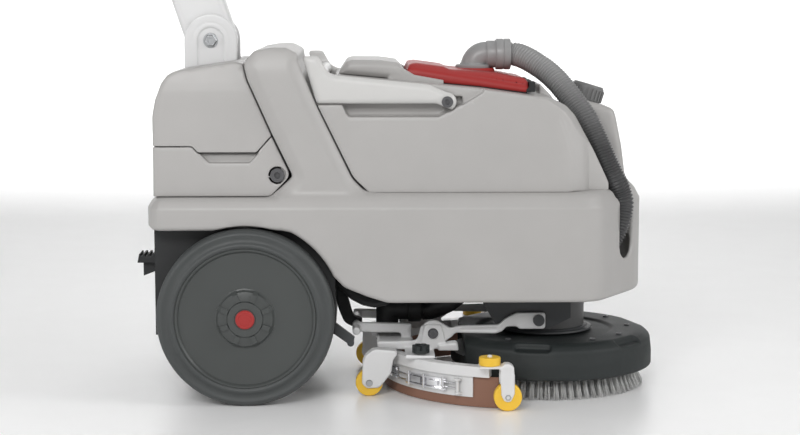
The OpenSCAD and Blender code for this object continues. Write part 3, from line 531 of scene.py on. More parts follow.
def make_body():
    """Main body with the diagonal spine, the front riser and the filler neck."""
    grid = Space((-186, -210, 162), (706, 210, 614), 2.6)
    across = np.abs(grid.y)
    base = [(-175, 297), (60, 297)] + arc(0, WHEEL_Z, 163, 62, 25, 8)
    base += [(166, 200), (205, 184), (240, 173), (700, 173), (700, SEAM_Z), (54, SEAM_Z), (54, LEDGE_Z)]
    base += [(-175, LEDGE_Z)]
    rounding = [0, 10] + [0] * 9 + [30, 30, 60, 0, 0, 0, 0, 0]
    lean = 0.6 * np.clip(grid.z - 334, 0, 30)
    body = meet(grid.side(base, rounding), grid.plan(body_plan()) + lean, 8)
    edge = grid.side([(40, 300), (40, LEDGE_Z - 2), (80, 386), (46, 456), (5, 548), (-2, 576), (17, 597),
        (45, 602), (70, 602), (90, 592), (90, 578), (118, 510), (180, 382), (205, SEAM_Z),
        (640, SEAM_Z - 1), (640, 300)], [0, 30, 8, 30, 20, 20, 14, 14, 14, 10, 20, 20, 40, 30, 0, 0])
    top = 602
    face = across - SPINE_HALF
    spine = meet(meet(edge, face, 3), facet(edge, face, 20, 14), 3)
    spine = meet(spine, facet(grid.z - top, face, 38, 14), 4)
    spine = meet(spine, grid.plan(body_plan(14)), 8)
    body = join(body, spine, 10)
    riser = grid.side([(575, 300), (575, 510.5), (634, 493), (640, 488), (644, 474), (654, 426),
        (661, 372), (683, 346), (683, 300)], [0, 10, 8, 8, 20, 40, 30, 30, 0])
    riser = meet(meet(riser, grid.between(-46, 122), 12), grid.plan(body_plan(3)), 12)
    body = join(body, riser, 8)
    # filler neck, square to the riser's sloping top
    tilt = radians(16.5)
    x, z = grid.x - 603, grid.z - 532
    u = x * cos(tilt) - z * sin(tilt)
    w = x * sin(tilt) + z * cos(tilt)
    body = join(body, meet(np.hypot(u, grid.y - 25) - 23.5, np.abs(w + 24) - 16, 1), 4)
    # wheel wells, seat of the arch liner, room under the rear ledge and motor pocket
    body = cut(body, both(grid.rod(0, WHEEL_Z, 155), 159 - across), 3)
    body = cut(body, grid.box((-220, -150.8, 100), (150.8, 150.8, 297.4), 0.1), 2)
    body = cut(body, grid.box((-150, -125, 290), (46, 125, 343), 4), 2)
    pocket = [(236, 100), (236, 187), (205, 200), (172, 226), (172, 276), (700, 276), (700, 100)]
    pocket = meet(meet(grid.side(pocket), grid.plan(body_plan(8)), 8), across - 192, 4)
    body = cut(body, pocket, 3)
    for y in (-110, 110):
        body = cut(body, grid.box((148, y - 10, 226), (180, y + 10, 250), 1), 1)
    # slot for the suction hose, square to the rounded corner
    turn = radians(-32)
    x, y = grid.x - 655, grid.y + 97
    u = x * cos(turn) + y * sin(turn)
    w = -x * sin(turn) + y * cos(turn)

    def slab(level, low, high):
        return np.abs(level - (low + high) / 2) - (high - low) / 2

    def block(u0, u1, w0, w1, z0, z1, r):
        return both(meet(slab(u, u0, u1), slab(w, w0, w1), r), slab(grid.z, z0, z1))

    end = both(np.hypot(w + 4, grid.z - 262) - 26, slab(u, -8, 46))
    mouth = either(block(-8, 46, -30, 22, 262, 412, 0.1), end)
    body = cut(body, either(mouth, block(-42, -3.9, -37, 24, 236, 408, 6)), 4)
    shell("body_shell", grid, body, "machine", "grey_plastic", ["main_body"])


def make_rear_covers():
    """Rear hood, and under it the rear panel with the finger pocket."""
    grid = Space((-164, -180, 344), (90, 180, 588), 2.2)
    across = np.abs(grid.y)
    face = across - UPPER_HALF
    top = 578
    rear = [(-103, 566), (-120, 562), (-130, 556), (-140, 543), (-151, 514), (-156, 488)]
    rounding = [40, 12, 12, 20, 30, 60]
    back = [(600, 200), (600, 582), (-18, 579)] + rear + [(-156, 200)]
    back = grid.side(back, [0, 0, 0] + rounding + [0])
    outer = meet(meet(back, face, 10), facet(grid.z - top, face, 48, 11), 5)
    hood = grid.side([(-156, 436.5), (-89, 436.5), (-79.5, 426.2), (18.9, 426.2), (44.3, 454.5),
        (3.2, 547.5), (-3.8, 575), (-18, 579)] + rear, [0, 6, 6, 5, 1, 40, 6, 6] + rounding)
    room = grid.side([(-151, 400), (52, 400), (39, 455), (-2, 545), (-7, 570), (-18, 573.5), (-102, 561),
        (-118, 557), (-126, 552), (-136, 540), (-146, 513), (-151, 487)])
    field = meet(meet(hood, face, 2), outer, 2)
    field = cut(field, both(room, outer + WALL), 1)
    for side in (-1, 1):
        lo, hi = sorted((side * 31, side * 47))
        field = cut(field, grid.box((PIVOT_X - 48, lo, 500), (PIVOT_X + 48, hi, 640), 2), 1.5)
    field = cut(field, both(grid.rod(PIVOT_X, PIVOT_Z, 47), across - 32), 2)
    shell("hood_shell", grid, field, "machine", "grey_plastic", ["rear_hood"])

    panel = grid.side([(-156, 352), (42, 352), (76, 387), (44.6, 453), (19.4, 425.3), (-80, 425.3),
        (-89, 436), (-156, 436)], [0, 14, 16, 1, 5, 6, 6, 0])
    field = meet(meet(panel, face, 2), outer, 2)
    room = both(grid.side([(-151, 300), (30, 300), (64, 387), (39, 460), (-151, 460)]), outer + WALL)
    backing = grid.box((-80, -UPPER_HALF, 404), (28, UPPER_HALF, 450), 1)
    room = both(room, -both(backing, UPPER_HALF - 20 - across))
    field = cut(field, room, 1)
    notch = grid.side([(-76, 460), (-76, 424.5), (-61, 409), (7, 409), (22, 424.5), (22, 460)],
        [0, 3, 6, 6, 3, 0])
    field = cut(field, both(notch, 158 - across), 3)
    field = cut(field, both(grid.rod(BOLT_X, BOLT_Z, 14.6), 167.5 - across), 1.5)
    shell("panel_shell", grid, field, "machine", "grey_plastic", ["rear_panel"])


def make_clevis():
    """Two ears that carry the handle, on a bridge that stands on the body under the hood."""
    grid = Space((PIVOT_X - 54, -152, 344), (PIVOT_X + 54, 152, 664), 1.7)
    across = np.abs(grid.y)

    def ear(r, foot):
        """Round top of radius r about the pin, with straight sides down to foot."""
        top = [(PIVOT_X - r, PIVOT_Z)] + arc(PIVOT_X, PIVOT_Z, r, 180, 0, 24)
        return grid.side([(PIVOT_X - r, foot)] + top + [(PIVOT_X + r, foot)])

    field = meet(ear(46, 466), grid.pair(39, 6), 2.5)
    recess = meet(ear(23, 540), 42.6 - across, 1)
    pad = meet(meet(recess + 2.5, grid.rod(PIVOT_X, PIVOT_Z, 31), 1.5), 41.4 - across, 0.5)
    field = cut(cut(field, recess, 1.2), pad, 1)
    groove = both(np.abs(ear(31, 470)) - 0.8, 44.3 - across)
    field = cut(field, groove, 0.5)
    field = join(field, grid.box((PIVOT_X - 46, -146, 464), (PIVOT_X + 46, 146, 474), 2), 3)
    for side in (-1, 1):
        lo, hi = sorted((side * 138, side * 146))
        field = join(field, grid.box((PIVOT_X - 46, lo, LEDGE_Z + 0.3), (PIVOT_X + 46, hi, 474), 2), 2)
    field = cut(field, grid.rod(PIVOT_X, PIVOT_Z, 8.05), 0.3)
    shell("clevis_casting", grid, field, "machine", "pale_coat", ["handle_clevis"])


def socket_head(radius, height, bore):
    """Profile of a round head with a socket in it."""
    return [(0.02, 0), (radius, 0), (radius, height - 0.8), (radius - 0.8, height), (bore + 0.6, height),
            (bore, height - 0.6), (bore, 1), (0.02, 1)]


def make_screws():
    parts = []
    for side in (-1, 1):
        bolt = (BOLT_X, side * (UPPER_HALF - 5), BOLT_Z)
        head = (BAIL_X, side * (UPPER_HALF - 1.2), BAIL_Z)
        shank = (BAIL_X, side * (UPPER_HALF - 17), BAIL_Z)
        parts.append(lathe(socket_head(12, 6, 5), 48, bolt, "y", side < 0))
        parts.append(lathe(socket_head(9.6, 4.2, 4), 48, head, "y", side < 0))
        parts.append(lathe([(0.02, 0), (5.9, 0), (5.9, 17), (0.02, 17)], 32, shank, "y", side < 0))
    add_piece("side_screws", *joined(parts), "machine", "screws", ["machine_screws"], sharp=30)
    places = [arc(BRUSH_X, 0, 150, a, a, 0)[0] for a in (-62, -35, 0, 35, 62, 120, -120)]
    deck = [lathe(socket_head(5, 3, 2.2), 20, (x, y, 96.8)) for x, y in places]
    add_piece("deck_screws", *joined(deck), "machine", "screws", sharp=30)
    pin = [lathe([(0.02, -45), (7.95, -45), (7.95, 45), (0.02, 45)], 40, (PIVOT_X, 0, PIVOT_Z), "y")]
    for side in (-1, 1):
        centre = (PIVOT_X, side * 41.2, PIVOT_Z)
        washer = [(8, 0), (13.5, 0), (13.5, 1.2), (12.8, 1.8), (8, 1.8)]
        nut = [(0.02, 1), (11, 1), (11, 7.6), (9.6, 8.6), (5, 8.6), (4.6, 7.6), (0.02, 7.6)]
        pin += [lathe(washer, 48, centre, "y", side < 0), lathe(nut, 6, centre, "y", side < 0)]
    add_piece("clevis_pin", *joined(pin), "machine", "steel", sharp=30)


# ---- recovery tank, lid and bail ----

def make_tank():
    """Recovery tank with its finger recesses and seats, and the top cover."""
    grid = Space((112, -178, 358), (628, 178, 564), 2.4)
    across = np.abs(grid.y)
    face = across - UPPER_HALF
    bottom = SEAM_Z + 0.6
    front = [(544, 503), (560, 486), (593, 426), (620, 369)]
    outline = grid.side([(209.5, bottom), (181.5, 384), (119.5, 510), (148, 511), (148, 550), (154, 555.8),
        (401, 532), (478, 521), (512, 519)] + front + [(620, bottom)],
        [12, 46, 3, 3, 3, 5, 40, 30, 20, 30, 30, 60, 6, 2])
    right = [(60, -UPPER_HALF), (560, -UPPER_HALF)] + arc(545, 40 - UPPER_HALF, 40, -75, -15, 6)
    right += [(620, -131), (620, -122), (700, -122), (700, 0)]
    plan = grid.plan(right + [(x, -y) for x, y in right[::-1]])
    field = meet(meet(outline, plan, 3), face, 2.4)
    # the chamfer along the top edges grows from nothing at the lid to its full size at the front
    slope = grid.side([(-500, 0), (-500, 600), (505, 527)] + front + [(640, 320), (640, 0)],
        [0, 0, 20, 30, 30, 60, 0, 0, 0])
    share = np.clip((grid.x - 470) / 90, 0.02, 1)
    field = meet(field, facet(slope, face, 34 * share, 15 * share), 3 + 25 * share)
    field = join(field, both(grid.side([(504, 515), (504, 540), (531, 512)]), across - 72), 3)
    # bay for the body's riser, room for water, hole under the lid and finger recesses
    bay = grid.side([(500, 700), (500, 545), (536, 505), (560, 450), (560, 300), (700, 300), (700, 700)],
        [0, 2, 10, 20, 0, 0, 0])
    field = cut(field, meet(bay, across - 122, 6), 4)
    upper = grid.side([(217, 368), (190, 386), (154, 462), (154, 545), (400, 524), (474, 514), (508, 511),
        (518, 511), (530, 501), (554, 448), (554, 368)])
    lower = grid.side([(217, 368), (190, 386), (160, 450), (160, 478), (540, 478), (554, 448), (554, 368)])
    room = either(meet(upper, face + 36, 6), meet(lower, face + 6, 6))
    field = cut(field, both(room, field + WALL), 2)
    field = cut(field, grid.box((288, -92, 500), (470, 92, 600), 6), 3)
    recess = grid.side([(163, 520), (163, 507), (173, 486), (326, 486), (366, 508), (366, 520)],
        [0, 3, 8, 8, 3, 0])
    field = cut(field, meet(recess, 142 - across, 6), 3)
    # seats of the bail and the lid hinge
    seat = grid.side([(100, 506), (100, 580), (154, 580), (404, 560), (401, 527), (367, 506)],
        [0, 0, 0, 0, 4, 8])
    field = cut(field, both(seat, 160 - across), 1.5)
    field = cut(field, both(grid.rod(BAIL_X, BAIL_Z, 17.3), 160 - across), 1.5)
    hinge = grid.box((LID_HINGE_X - 9, -57, LID_HINGE_Z - 9), (LID_HINGE_X + 9, 57, 620), 1)
    field = cut(field, both(hinge, 43 - across), 1)
    shell("tank_shell", grid, field, "machine", "grey_plastic", ["recovery_tank"])

    grid = Space((150, -124, 532), (342, 124, 586), 1.8)
    across = np.abs(grid.y)
    edge = grid.side([(156, 556), (170, 577), (180, 579.5), (228, 579), (258, 575), (270, 562),
        (270, 545.5)], [2, 3, 3, 8, 4, 3, 0])
    face = across - 118
    field = meet(meet(edge, face, 2), facet(edge, face, 8, 8), 2)
    flank = grid.side([(240, 547), (256, 571), (268, 565), (286, 554), (336, 545), (336, 536), (240, 545)],
        [0, 4, 6, 12, 1, 1, 0])
    field = join(field, meet(flank, grid.pair(111.7, 5.7), 2), 1)
    shell("cover_shell", grid, field, "machine", "grey_plastic", ["tank_top_cover"])


def make_lid():
    """Lid with a raised dish round the elbow, and the two hinge arms."""
    grid = Space((266, -110, 522), (490, 110, 580), 1.8)
    across = np.abs(grid.y)
    top = grid.side([(273, 560), (278, 572), (290, 574), (337, 567.5), (347, 563), (424, 557), (478, 547),
        (483, 540), (483, 528), (479, 522.6), (400, 533), (273, 545.3)],
        [6, 6, 8, 8, 8, 20, 8, 4, 4, 3, 40, 2])
    face = across - 104
    roof = grid.z - 574 + 0.16 * np.clip(grid.x - 290, 0, 400)
    field = meet(meet(top, face, 5), facet(roof, face, 12, 14), 4)
    round_elbow = np.hypot(grid.x - ELBOW_X, grid.y)
    field = join(field, meet(round_elbow - 38, np.abs(grid.z - 552) - 10, 2), 3)
    hollow = grid.side([(284, 500), (284, 560), (424, 546), (474, 538), (474, 500)])
    field = cut(field, both(hollow, across - 96), 2)
    field = cut(field, both(round_elbow - 22.3, np.abs(grid.z - 540) - 60), 1)
    arms = both(grid.box((474, -56, LID_HINGE_Z - 2), (LID_HINGE_X, 56, LID_HINGE_Z + 6), 1), 44 - across)
    field = join(field, arms, 1.5)
    shell("lid_shell", grid, field, "lid", "red_plastic", ["tank_lid"])


def make_bail():
    """Carry bail: two side plates and the grip between them."""
    grid = Space((92, -178, 488), (362, 178, 594), 1.9)
    across = np.abs(grid.y)
    plate = [(98, 584), (101, 588), (124, 588), (138, 562), (152, 556), (309, 540)]
    plate += arc(BAIL_X, BAIL_Z, 16, 90, -60, 10) + [(322, 508), (121, 508), (118, 516)]
    edge = grid.side(plate, [4, 4, 8, 8, 10, 30] + [0] * 11 + [12, 6, 6])
    face = grid.pair(166, 5)
    field = meet(meet(edge, face, 1.2), facet(edge, across - 171, 7, 5), 2)
    grip = meet(grid.rod(129, 556, 11), across - 166, 1)
    field = join(field, grip, 4)
    field = cut(field, both(grid.rod(BAIL_X, BAIL_Z, 6.2), 150 - across), 0.5)
    shell("bail_shell", grid, field, "bail", "bail_plastic", ["carry_bail"])


# ---- hoses ----

# From the cuff into the slot, on inside the body, and under it to the squeegee's inlet.
UPPER_ROUTE = [(451, 0, 586), (460, -0.2, 586), (467, -2, 585.6), (474, -6, 584), (482, -12, 581),
    (492, -19, 576), (503, -26, 569), (515, -33, 561), (527, -41, 551), (538, -49, 540),
    (548, -56, 528), (558, -63, 515), (568, -70, 501), (578, -77, 487), (588, -84, 470),
    (597, -89, 451), (606, -94, 431), (615, -97, 410), (624, -99, 391)]
MIDDLE_ROUTE = [(632.5, -100.9, 373), (642, -98, 352), (647, -98, 334), (646, -98, 317), (642, -98, 299),
    (635, -98, 281), (624, -101, 264), (611, -107, 251), (595, -117, 242), (574, -129, 237),
    (549, -140, 234), (520, -148, 232), (490, -150, 230), (460, -150, 226)]
TAIL_ROUTE = [(460, -150, 226), (434, -148, 218), (411.5, -142.9, 206.8), (399.7, -140.2, 200.9),
              (384, -126, 190), (374, -110, 183), (366, -92, 176), (360, -74, 168), (353, -55, 158),
              (344, -36, 148), (334, -21, 141), (321, -8, 133), (306, 0, 130), (295, 0, 130)]


def corrugated(name, route, slot, replaced):
    """Ribbed hose along the route, which runs between two bodies; the piece is baked in place and attached
    to no body.
    """
    pitch, steps = 5.0, 5
    valley, rib = 17.4, 3.6
    points, s = smooth_path(route, pitch / steps)
    wave = 0.5 + 0.5 * np.cos(2 * pi * np.arange(len(s)) / steps)
    radii = valley + rib * wave ** 0.6
    verts, faces = sweep(points, radii, 32)
    piece = add_piece(name, verts, faces, None, slot, replaced, sharp=None)
    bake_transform(piece)


def make_lift_strap():
    """Webbing between the body and the squeegee; the piece is baked in place and attached to no body."""
    grid = Space((140, -40, 96), (204, 4, 210), 1.4)
    band = grid.side([(147, 204), (163, 204), (167, 168), (180, 122), (196, 116), (196, 108), (184, 100),
        (164, 110), (152, 140), (147, 172)], [2, 2, 60, 14, 4, 4, 8, 20, 60, 60])
    field = meet(band, grid.between(-33, -7), 4)
    field = cut(field, grid.rod(186, 108, 7.2), 1)
    strap = shell("lift_strap_band", grid, field, None, "webbing", ["lift_strap"])
    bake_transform(strap)


def make_hoses():
    corrugated("suction_hose", UPPER_ROUTE + MIDDLE_ROUTE, "hose_grey", ["hose_upper", "hose_middle"])
    corrugated("squeegee_hose", TAIL_ROUTE, "hose_black", ["hose_tail"])
    # elbow on the lid: flange and bend, then the cuff with its ring
    centre = (ELBOW_X, 0, 0)
    flange = [(18, 555), (22, 555), (22, 561), (30, 561), (31, 562.5), (31, 566.5), (29.5, 568),
              (23.5, 568.5), (22.5, 571), (18, 571)]
    turn = 23
    bend = [(ELBOW_X, 0, 540), (ELBOW_X, 0, CUFF_Z - turn)]
    bend += [(ELBOW_X + turn - turn * cos(a), 0, CUFF_Z - turn + turn * sin(a))
             for a in np.linspace(0.1, pi / 2, 10)]
    bend += [(420, 0, CUFF_Z)]
    points, s = smooth_path(bend, 2.5)
    add_piece("elbow_bend", *joined([lathe(flange, 64, centre), sweep(points, [22.0] * len(s), 48)]),
              "lid", "hose_light", ["hose_elbow"])
    cuffs = [(18, 0), (23, 0), (24, 1), (24, 15), (25, 16.5), (27, 17), (27.5, 18), (27.5, 29),
             (26.6, 29.6), (26.6, 30.8), (27.5, 31.4), (27.5, 41), (26.5, 42.5), (22, 42.5), (21.4, 30),
             (18, 28)]
    add_piece("cuff_rings", *lathe(cuffs, 64, (416.5, 0, CUFF_Z), "x"), "lid", "hose_light", ["hose_cuff"])


# ---- wheels ----

# Profiles as [radius, height outward from the middle of the wheel].
TYRE = [(119, -23), (131, -24.5), (138, -24.8), (145, -21), (149, -15), (150, -12), (150, -7), (148, -6.4),
        (148, -4.8), (150, -4.2), (150, 4.2), (148, 4.8), (148, 6.4), (150, 7), (150, 12), (149.2, 15.5),
        (147, 18.6), (144.5, 20.8), (142.5, 21.8), (140.5, 21.6), (137, 20), (132, 19.8), (128.5, 22),
        (126.5, 24), (124, 24.8), (121.5, 24.4), (120.4, 23), (119.2, 22.6)]
RIM = [(12.05, -25), (30, -25), (34, 4), (108, 4), (112, -23), (119, -23), (119, 22), (118, 23.6),
       (115.5, 23.8), (113.2, 22), (112, 19.4), (108, 18.6), (60, 17.4), (51, 17.2), (31.5, 17.2),
       (16, 17.2), (16, 15), (12.05, 15)]
HUB_CONE = [(51.5, 17), (49, 18.2), (46, 22.8), (33, 26.2), (30.5, 26.4), (30.5, 17)]
HUB_RIB = [(31, 26), (31, 28.6), (44, 27), (49.5, 20.5), (50, 17.3), (40, 17.3)]
HUB_BARREL = [(30, 16), (30, 27.6), (29, 28.6), (18.5, 28.8), (17.4, 28), (16.1, 28), (16.1, 16)]
CAP = [(0.02, 15.6), (16, 15.6), (16, 29.4), (14.6, 30.8), (11, 31), (10.4, 30.5), (0.02, 30.9)]


def hub_ribs(centre, flip):
    """Ribs on the hub's cone: the rib's outline, thickened across and turned about the axle."""
    count, half = 8, 4.2
    parts = []
    for k in range(count):
        a = 2 * pi * (k + 0.5) / count
        verts = []
        for w in (-half, half):
            for r, h in HUB_RIB:
                x, z = r * cos(a) - w * sin(a), r * sin(a) + w * cos(a)
                y = -h if flip else h
                verts.append((centre[0] + x, centre[1] + y, centre[2] + z))
        n = len(HUB_RIB)
        faces = [tuple(range(n)), tuple(range(2 * n - 1, n - 1, -1))]
        faces += [(i, i + n, (i + 1) % n + n, (i + 1) % n) for i in range(n)]
        parts.append((verts, faces))
    return joined(parts)


def make_wheels():
    for side, y in (("right", -WHEEL_Y), ("left", WHEEL_Y)):
        centre, flip = (0, y, WHEEL_Z), y < 0
        body = "wheel_" + side
        add_piece("tyre_shell_" + side, *lathe(TYRE, 160, centre, "y", flip), body, "tyre_rubber",
                  ["tyre_" + side], sharp=50)
        parts = [lathe(RIM, 160, centre, "y", flip), lathe(HUB_BARREL, 96, centre, "y", flip)]
        add_piece("rim_shell_" + side, *joined(parts), body, "wheel_plastic", ["rim_" + side], sharp=30)
        cone = joined([lathe(HUB_CONE, 96, centre, "y", flip), hub_ribs(centre, flip)])
        add_piece("hub_cone_" + side, *cone, body, "wheel_plastic", sharp=25)
        add_piece("hub_button_" + side, *lathe(CAP, 64, centre, "y", flip), body, "red_plastic",
                  ["hub_cap_" + side], sharp=40)


# ---- brush and deck ----

def make_brush():
    """Tufts in rings; each hair is a bent three-sided rod that leans outward towards the floor."""
    tuft_spacing, root_height, rim = 13, 42, 177.2
    verts, faces = [], []
    for ring in (70, 88, 106, 124, 142, 160):
        count = int(2 * pi * ring / tuft_spacing)
        hairs = 22 if ring > 130 else 9
        for k in range(count):
            a = 2 * pi * (k + random.uniform(-0.06, 0.06)) / count
            lean = 4 + 11 * ring / 166 + random.uniform(-1.5, 1.5)
            for _ in range(hairs):
                b, d = random.uniform(0, 2 * pi), sqrt(random.random())
                foot, root = 5.2 * d, 3.0 * d
                tip = min(ring + lean + foot * cos(b), rim)
                route = []
                for t in (0, 0.55, 1):
                    r = ring + root * cos(b) + (tip - ring - root * cos(b)) * t ** 1.4
                    w = (root + (foot - root) * t) * sin(b)
                    x = BRUSH_X + r * cos(a) - w * sin(a)
                    y = r * sin(a) + w * cos(a)
                    end = random.uniform(0.1, 1.6)
                    route.append((x, y, root_height - (root_height - end) * t))
                start = len(verts)
                for (x, y, z), size in zip(route, (0.75, 0.7, 0.5)):
                    for c in range(3):
                        angle = 2 * pi * c / 3 + b
                        verts.append((x + size * cos(angle), y + size * sin(angle), z))
                for row in (0, 3):
                    for c in range(3):
                        p, q = start + row + c, start + row + (c + 1) % 3
                        faces.append((p, p + 3, q + 3, q))
                faces.append((start, start + 1, start + 2))
                faces.append((start + 8, start + 7, start + 6))
    add_piece("bristle_tufts", verts, faces, "brush", "bristle_fibre", ["bristles"], sharp=None)


def make_deck():
    """Round deck cover with six pockets in its edge, and the ring under the brush motor."""
    grid = Space((366, -198, 30), (722, 198, 104), 2.0)
    radius = np.hypot(grid.x - BRUSH_X, grid.y)
    profile = fillet([(74, 97), (74, 93), (118, 93), (124, 97), (170, 97.5), (180, 94), (189, 86),
        (192, 60), (192, 36), (187, 36), (187, 80), (70, 84), (20, 84), (20, 97)],
        [0, 2, 4, 4, 20, 12, 10, 20, 1.5, 1.5, 6, 0, 0, 0])
    field = outline_distance(profile, radius, grid.z)
    for k in range(6):
        a = radians(-102 + 60 * k)
        u = (grid.x - BRUSH_X) * cos(a) + grid.y * sin(a)
        w = -(grid.x - BRUSH_X) * sin(a) + grid.y * cos(a)
        pocket = meet(meet(171 - u, np.abs(w) - 31, 6), 87 - grid.z - 0.12 * (u - 171), 4)
        field = cut(field, pocket, 3)
    field = meet(field, BRUSH_X - 150 - grid.x, 3)
    shell("deck_shell", grid, field, "machine", "dark_plastic", ["deck_cover"])
    ring = [(71.3, 97), (84, 97), (85, 98), (84, 100.5), (78, 101), (76, 103.5), (73, 104), (71.3, 104)]
    add_piece("motor_flange", *lathe(ring, 96, (BRUSH_X, 0, 0)), "machine", "dark_coat")


# ---- squeegee ----

def screw_pairs(places, radius, depth):
    """Socket screws with their heads facing outward on both sides of the machine."""
    head = [(0.02, 0), (radius, 0), (radius, depth - 1), (radius - 1, depth), (radius * 0.55, depth),
            (radius * 0.5, depth - 1.6), (0.02, depth - 1.6)]
    return joined([lathe(head, 6 if k % 2 else 40, (x, side * y, z), "y", side < 0)
                   for k, (x, y, z) in enumerate(places) for side in (-1, 1)])


def make_squeegee_castings():
    """The two arms, and the holder they carry."""
    grid = Space((292, -116, 84), (524, 116, 150), 1.5)
    across = np.abs(grid.y)
    arm = grid.side([(300, 92), (303, 122), (312, 128), (326, 129), (340, 120), (349, 114), (360, 118),
        (434, 120), (444, 130), (456, 137), (466, 141), (515, 141), (515, 112), (470, 112), (464, 117),
        (447, 116), (440, 108), (428, 104), (358, 106), (352, 99), (342, 92)],
        [2, 6, 8, 8, 16, 16, 12, 12, 12, 10, 5, 6, 6, 6, 8, 8, 12, 10, 12, 8, 3])
    field = meet(arm, grid.pair(107, 4.8), 2.2)
    web = both(both(grid.side([(366, 110), (366, 114), (430, 116), (430, 109)]), 110.6 - across), -3)
    field = cut(field, web, 1)
    shell("arm_castings", grid, field, "squeegee", "cast_silver", ["squeegee_arms"])

    grid = Space((172, -176, 56), (372, 176, 128), 1.7)
    across = np.abs(grid.y)
    # feet and lugs that take the arms, bridge between them, clamps on the channel
    foot = grid.side([(257, 87), (260, 90), (292, 91), (299, 118), (339, 118), (343, 90), (340, 72),
        (298, 72), (296, 75.5), (257, 75.5)], [4, 4, 10, 5, 5, 6, 4, 4, 2, 4])
    field = meet(foot, grid.pair(98.3, 4.1), 2)
    lug = grid.side([(296, 78), (304, 121), (334, 121), (343, 86), (338, 78)], [3, 4, 4, 4, 3])
    field = join(field, meet(lug, grid.pair(112.9, 1.9), 1.5), 1)
    knuckle = grid.side([(326, 87), (362, 91), (364, 75), (360, 72.5), (329, 72.5)], [5, 6, 5, 4, 4])
    field = join(field, meet(knuckle, grid.pair(106, 12), 4), 2)
    field = join(field, grid.box((222, -102.5, 75.5), (285, 102.5, 90), 3.5), 2)
    clamp = meet(grid.side([(270, 71.5), (270, 79), (322, 77), (322, 71.5)], 3), grid.pair(134, 34), 2)
    field = join(field, clamp, 1.5)
    # bars back to the pin of the lift strap, ring round the suction inlet
    bar = grid.side([(180, 101), (180, 116), (184, 118), (283, 116), (283, 86), (265, 84), (264, 99)],
        [5, 5, 3, 4, 3, 3, 5])
    field = join(field, meet(bar, grid.pair(68, 5.5), 3), 3)
    field = join(field, meet(grid.rod(186, 108, 7), grid.between(-104, 66), 2), 3)
    ring = np.hypot(grid.x - 241, grid.y)
    field = join(field, meet(ring - 28, np.abs(grid.z - 88) - 7, 1.5), 2)
    field = cut(field, both(ring - 20.2, 50 - grid.z), 0.5)
    field = cut(field, both(np.hypot(grid.x - SQUEEGEE_X, grid.y) - 225, grid.z - 75.4), 0.5)
    shell("holder_castings", grid, field, "squeegee", "cast_silver", ["squeegee_holder"])
    add_piece("arm_bolts", *screw_pairs([(319, 115, 106), (319, 116.6, 106), (503, 111.5, 128)], 9, 3.4),
              "squeegee", "screws", sharp=30)


def make_castor_forks():
    """Forks of the four castors, cast in one with their plates."""
    grid = Space((184, -262, 6), (464, 262, 92), 1.9)
    across = np.abs(grid.y)
    outer = grid.side([(196, 60), (200, 71), (213, 81), (222, 83), (256, 80), (256, 71.5), (250, 64),
        (246, 40), (226, 15), (204, 13.5), (195, 22)], [10, 8, 8, 6, 3, 2, 10, 16, 12, 10, 8])
    field = meet(outer, grid.pair(127, 12.4), 2)
    inner = grid.side([(170, 0), (170, 71), (258, 71), (258, 0)], 0.5)
    field = cut(field, both(inner, grid.pair(127, 9.3)), 0.5)
    fork = grid.side([(424, 60), (426, 74), (433, 81), (443, 80), (450, 71), (451, 30), (444, 15),
        (433, 15), (427, 26)], [10, 8, 6, 6, 8, 10, 8, 8, 10])
    fork = meet(fork, grid.pair(246, 10.4), 2)
    inner = grid.side([(410, 0), (410, 75), (464, 75), (464, 0)], 0.5)
    fork = cut(fork, both(inner, grid.pair(246, 8.3)), 0.5)
    plate = grid.side([(390, 71.3), (390, 75.4), (448, 76), (448, 71.3)], 1.5)
    plate = meet(plate, grid.pair(239, 17.5), 3)
    field = either(field, join(fork, plate, 2))
    field = either(field, meet(np.hypot(grid.x - 409, across - 238) - 4.2, np.abs(grid.z - 82) - 11, 1))
    field = either(field, meet(grid.rod(REAR_CASTOR_X, CASTOR_Z, 4), grid.pair(127, 11), 0.5))
    field = either(field, meet(grid.rod(FRONT_CASTOR_X, CASTOR_Z, 4), grid.pair(246, 10), 0.5))
    shell("castor_forks", grid, field, "squeegee", "cast_silver", ["castor_brackets"])
    places = [(REAR_CASTOR_X, 139, CASTOR_Z), (FRONT_CASTOR_X, 254.8, CASTOR_Z)]
    add_piece("castor_screws", *screw_pairs(places, 6, 2.2), "squeegee", "steel", sharp=30)


def on_blade(r, a, z):
    """Point at radius r from the squeegee's middle, a degrees round to the machine's right."""
    return SQUEEGEE_X - r * cos(radians(a)), -r * sin(radians(a)), z


def strip(r0, r1, a0, a1, z0, z1):
    """Curved bar along the blade."""
    count = max(2, int(abs(a1 - a0) / 2) + 1)
    corners = ((r0, z0), (r1, z0), (r1, z1), (r0, z1))
    verts = [on_blade(r, a, z) for a in np.linspace(a0, a1, count) for r, z in corners]
    faces = [(4 * i + k, 4 * i + (k + 1) % 4, 4 * i + 4 + (k + 1) % 4, 4 * i + 4 + k)
             for i in range(count - 1) for k in range(4)]
    faces += [(3, 2, 1, 0), tuple(4 * count - 4 + k for k in range(4))]
    return verts, faces


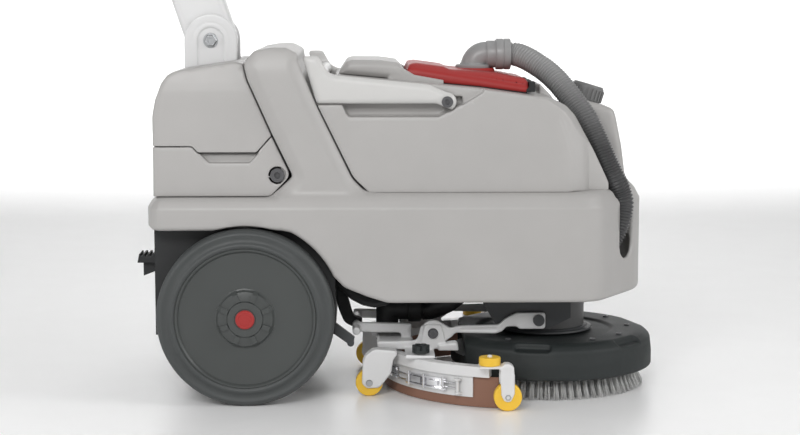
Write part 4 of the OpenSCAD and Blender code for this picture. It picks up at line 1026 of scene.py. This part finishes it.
def make_latch():
    """Over-centre latch that draws the ends of the clamp band together."""
    pin = [(0.02, -12), (2.6, -12), (2.6, 12), (0.02, 12)]
    # hook plate and eyelets riveted to the strap
    plates = [strip(241, 242.6, 21, 29, 26, 47), strip(242.4, 244, 23, 27, 29, 33),
              strip(242.4, 244, 23, 27, 40, 44)]
    rivet = [(0.02, -1.5), (3, -1.5), (2.4, 1.2), (0.02, 1.6)]
    plates += [lathe(rivet, 20, on_blade(242.5, a, z), "y", True) for a in (22.5, 27.5) for z in (29, 44)]
    add_piece("latch_hook", *joined(plates), "squeegee", "latch_chrome", sharp=30)
    # over-centre lever with its wire loop
    lever = [strip(242, 244.2, 37, 55, 27, 45), strip(244, 248.5, 36, 57, 26, 28.5),
             strip(244, 248.5, 36, 57, 43, 45.5)]
    lever += [lathe(pin, 20, on_blade(246.5, a, 36)) for a in (37.5, 46, 55.5)]
    lever += [strip(245, 248, 39, 44.5, 31, 41), strip(244, 247.5, 48.5, 53, 32.5, 40)]
    wires = [sweep([on_blade(246.5, a, z) for a in np.linspace(a0, a1, count)], [1.5] * count, 10)
             for a0, a1, count, levels in ((29, 37, 5, (31, 41)), (56, 61, 4, (32, 40))) for z in levels]
    add_piece("latch_lever", *joined(lever + wires), "latch", "latch_chrome", ["strap_latch"], sharp=30)


# ---- parts that keep their CAD shape ----

# Finish, and width of the rounding on the edges in mm.
KEPT = {
    "chassis_frame": ("dark_coat", 0.8), "arch_liner": ("liner_plastic", 1.0),
    "wheel_axle": ("steel", 0.5), "battery_pack": ("dark_plastic", 2), "suction_motor": ("dark_coat", 1),
    "solenoid_valve": ("dark_coat", 1), "feed_hose": ("black_rubber", 0.5),
    "brush_motor": ("motor_coat", 2), "lid_gasket": ("black_rubber", 0.8),
    "float_cage": ("white_plastic", 0.6), "filler_cap": ("cap_grey", 0.7), "drive_hub": ("steel", 1),
    "brush_block": ("dark_plastic", 2), "squeegee_channel": ("cast_silver", 1.5),
    "squeegee_blades": ("blade_rubber", 0.3), "blade_strap": ("strap_silver", 0.5),
    "squeegee_knobs": ("dark_plastic", 0.8), "suction_inlet": ("liner_plastic", 1),
    "rear_castor_right": ("yellow_plastic", 2), "rear_castor_left": ("yellow_plastic", 2),
    "front_castor_right": ("yellow_plastic", 2), "front_castor_left": ("yellow_plastic", 2),
    "bumper_roller_right": ("yellow_plastic", 1.5), "bumper_roller_left": ("yellow_plastic", 1.5),
    "pedal_arm": ("dark_coat", 1.2), "pedal_pad": ("black_rubber", 0.7), "handle_mast": ("pale_coat", 2),
    "handlebar": ("steel", 1.5), "hand_grips": ("black_rubber", 2), "console": ("dark_plastic", 3),
    "trigger_lever": ("red_plastic", 1.2), "key_switch": ("liner_plastic", 0.8),
    "start_button": ("green_plastic", 1.2),
}


def dress_kept_nodes():
    for node, (finish, width) in KEPT.items():
        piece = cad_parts[node]
        piece.data.materials.clear()
        piece.data.materials.append(finish_of(finish))
        soften(node, width)


make_camera()
make_studio()
make_body()
make_rear_covers()
make_clevis()
make_screws()
make_tank()
make_lid()
make_bail()
make_lift_strap()
make_hoses()
make_squeegee_castings()
make_castor_forks()
make_latch()
make_wheels()
make_brush()
make_deck()
dress_kept_nodes()
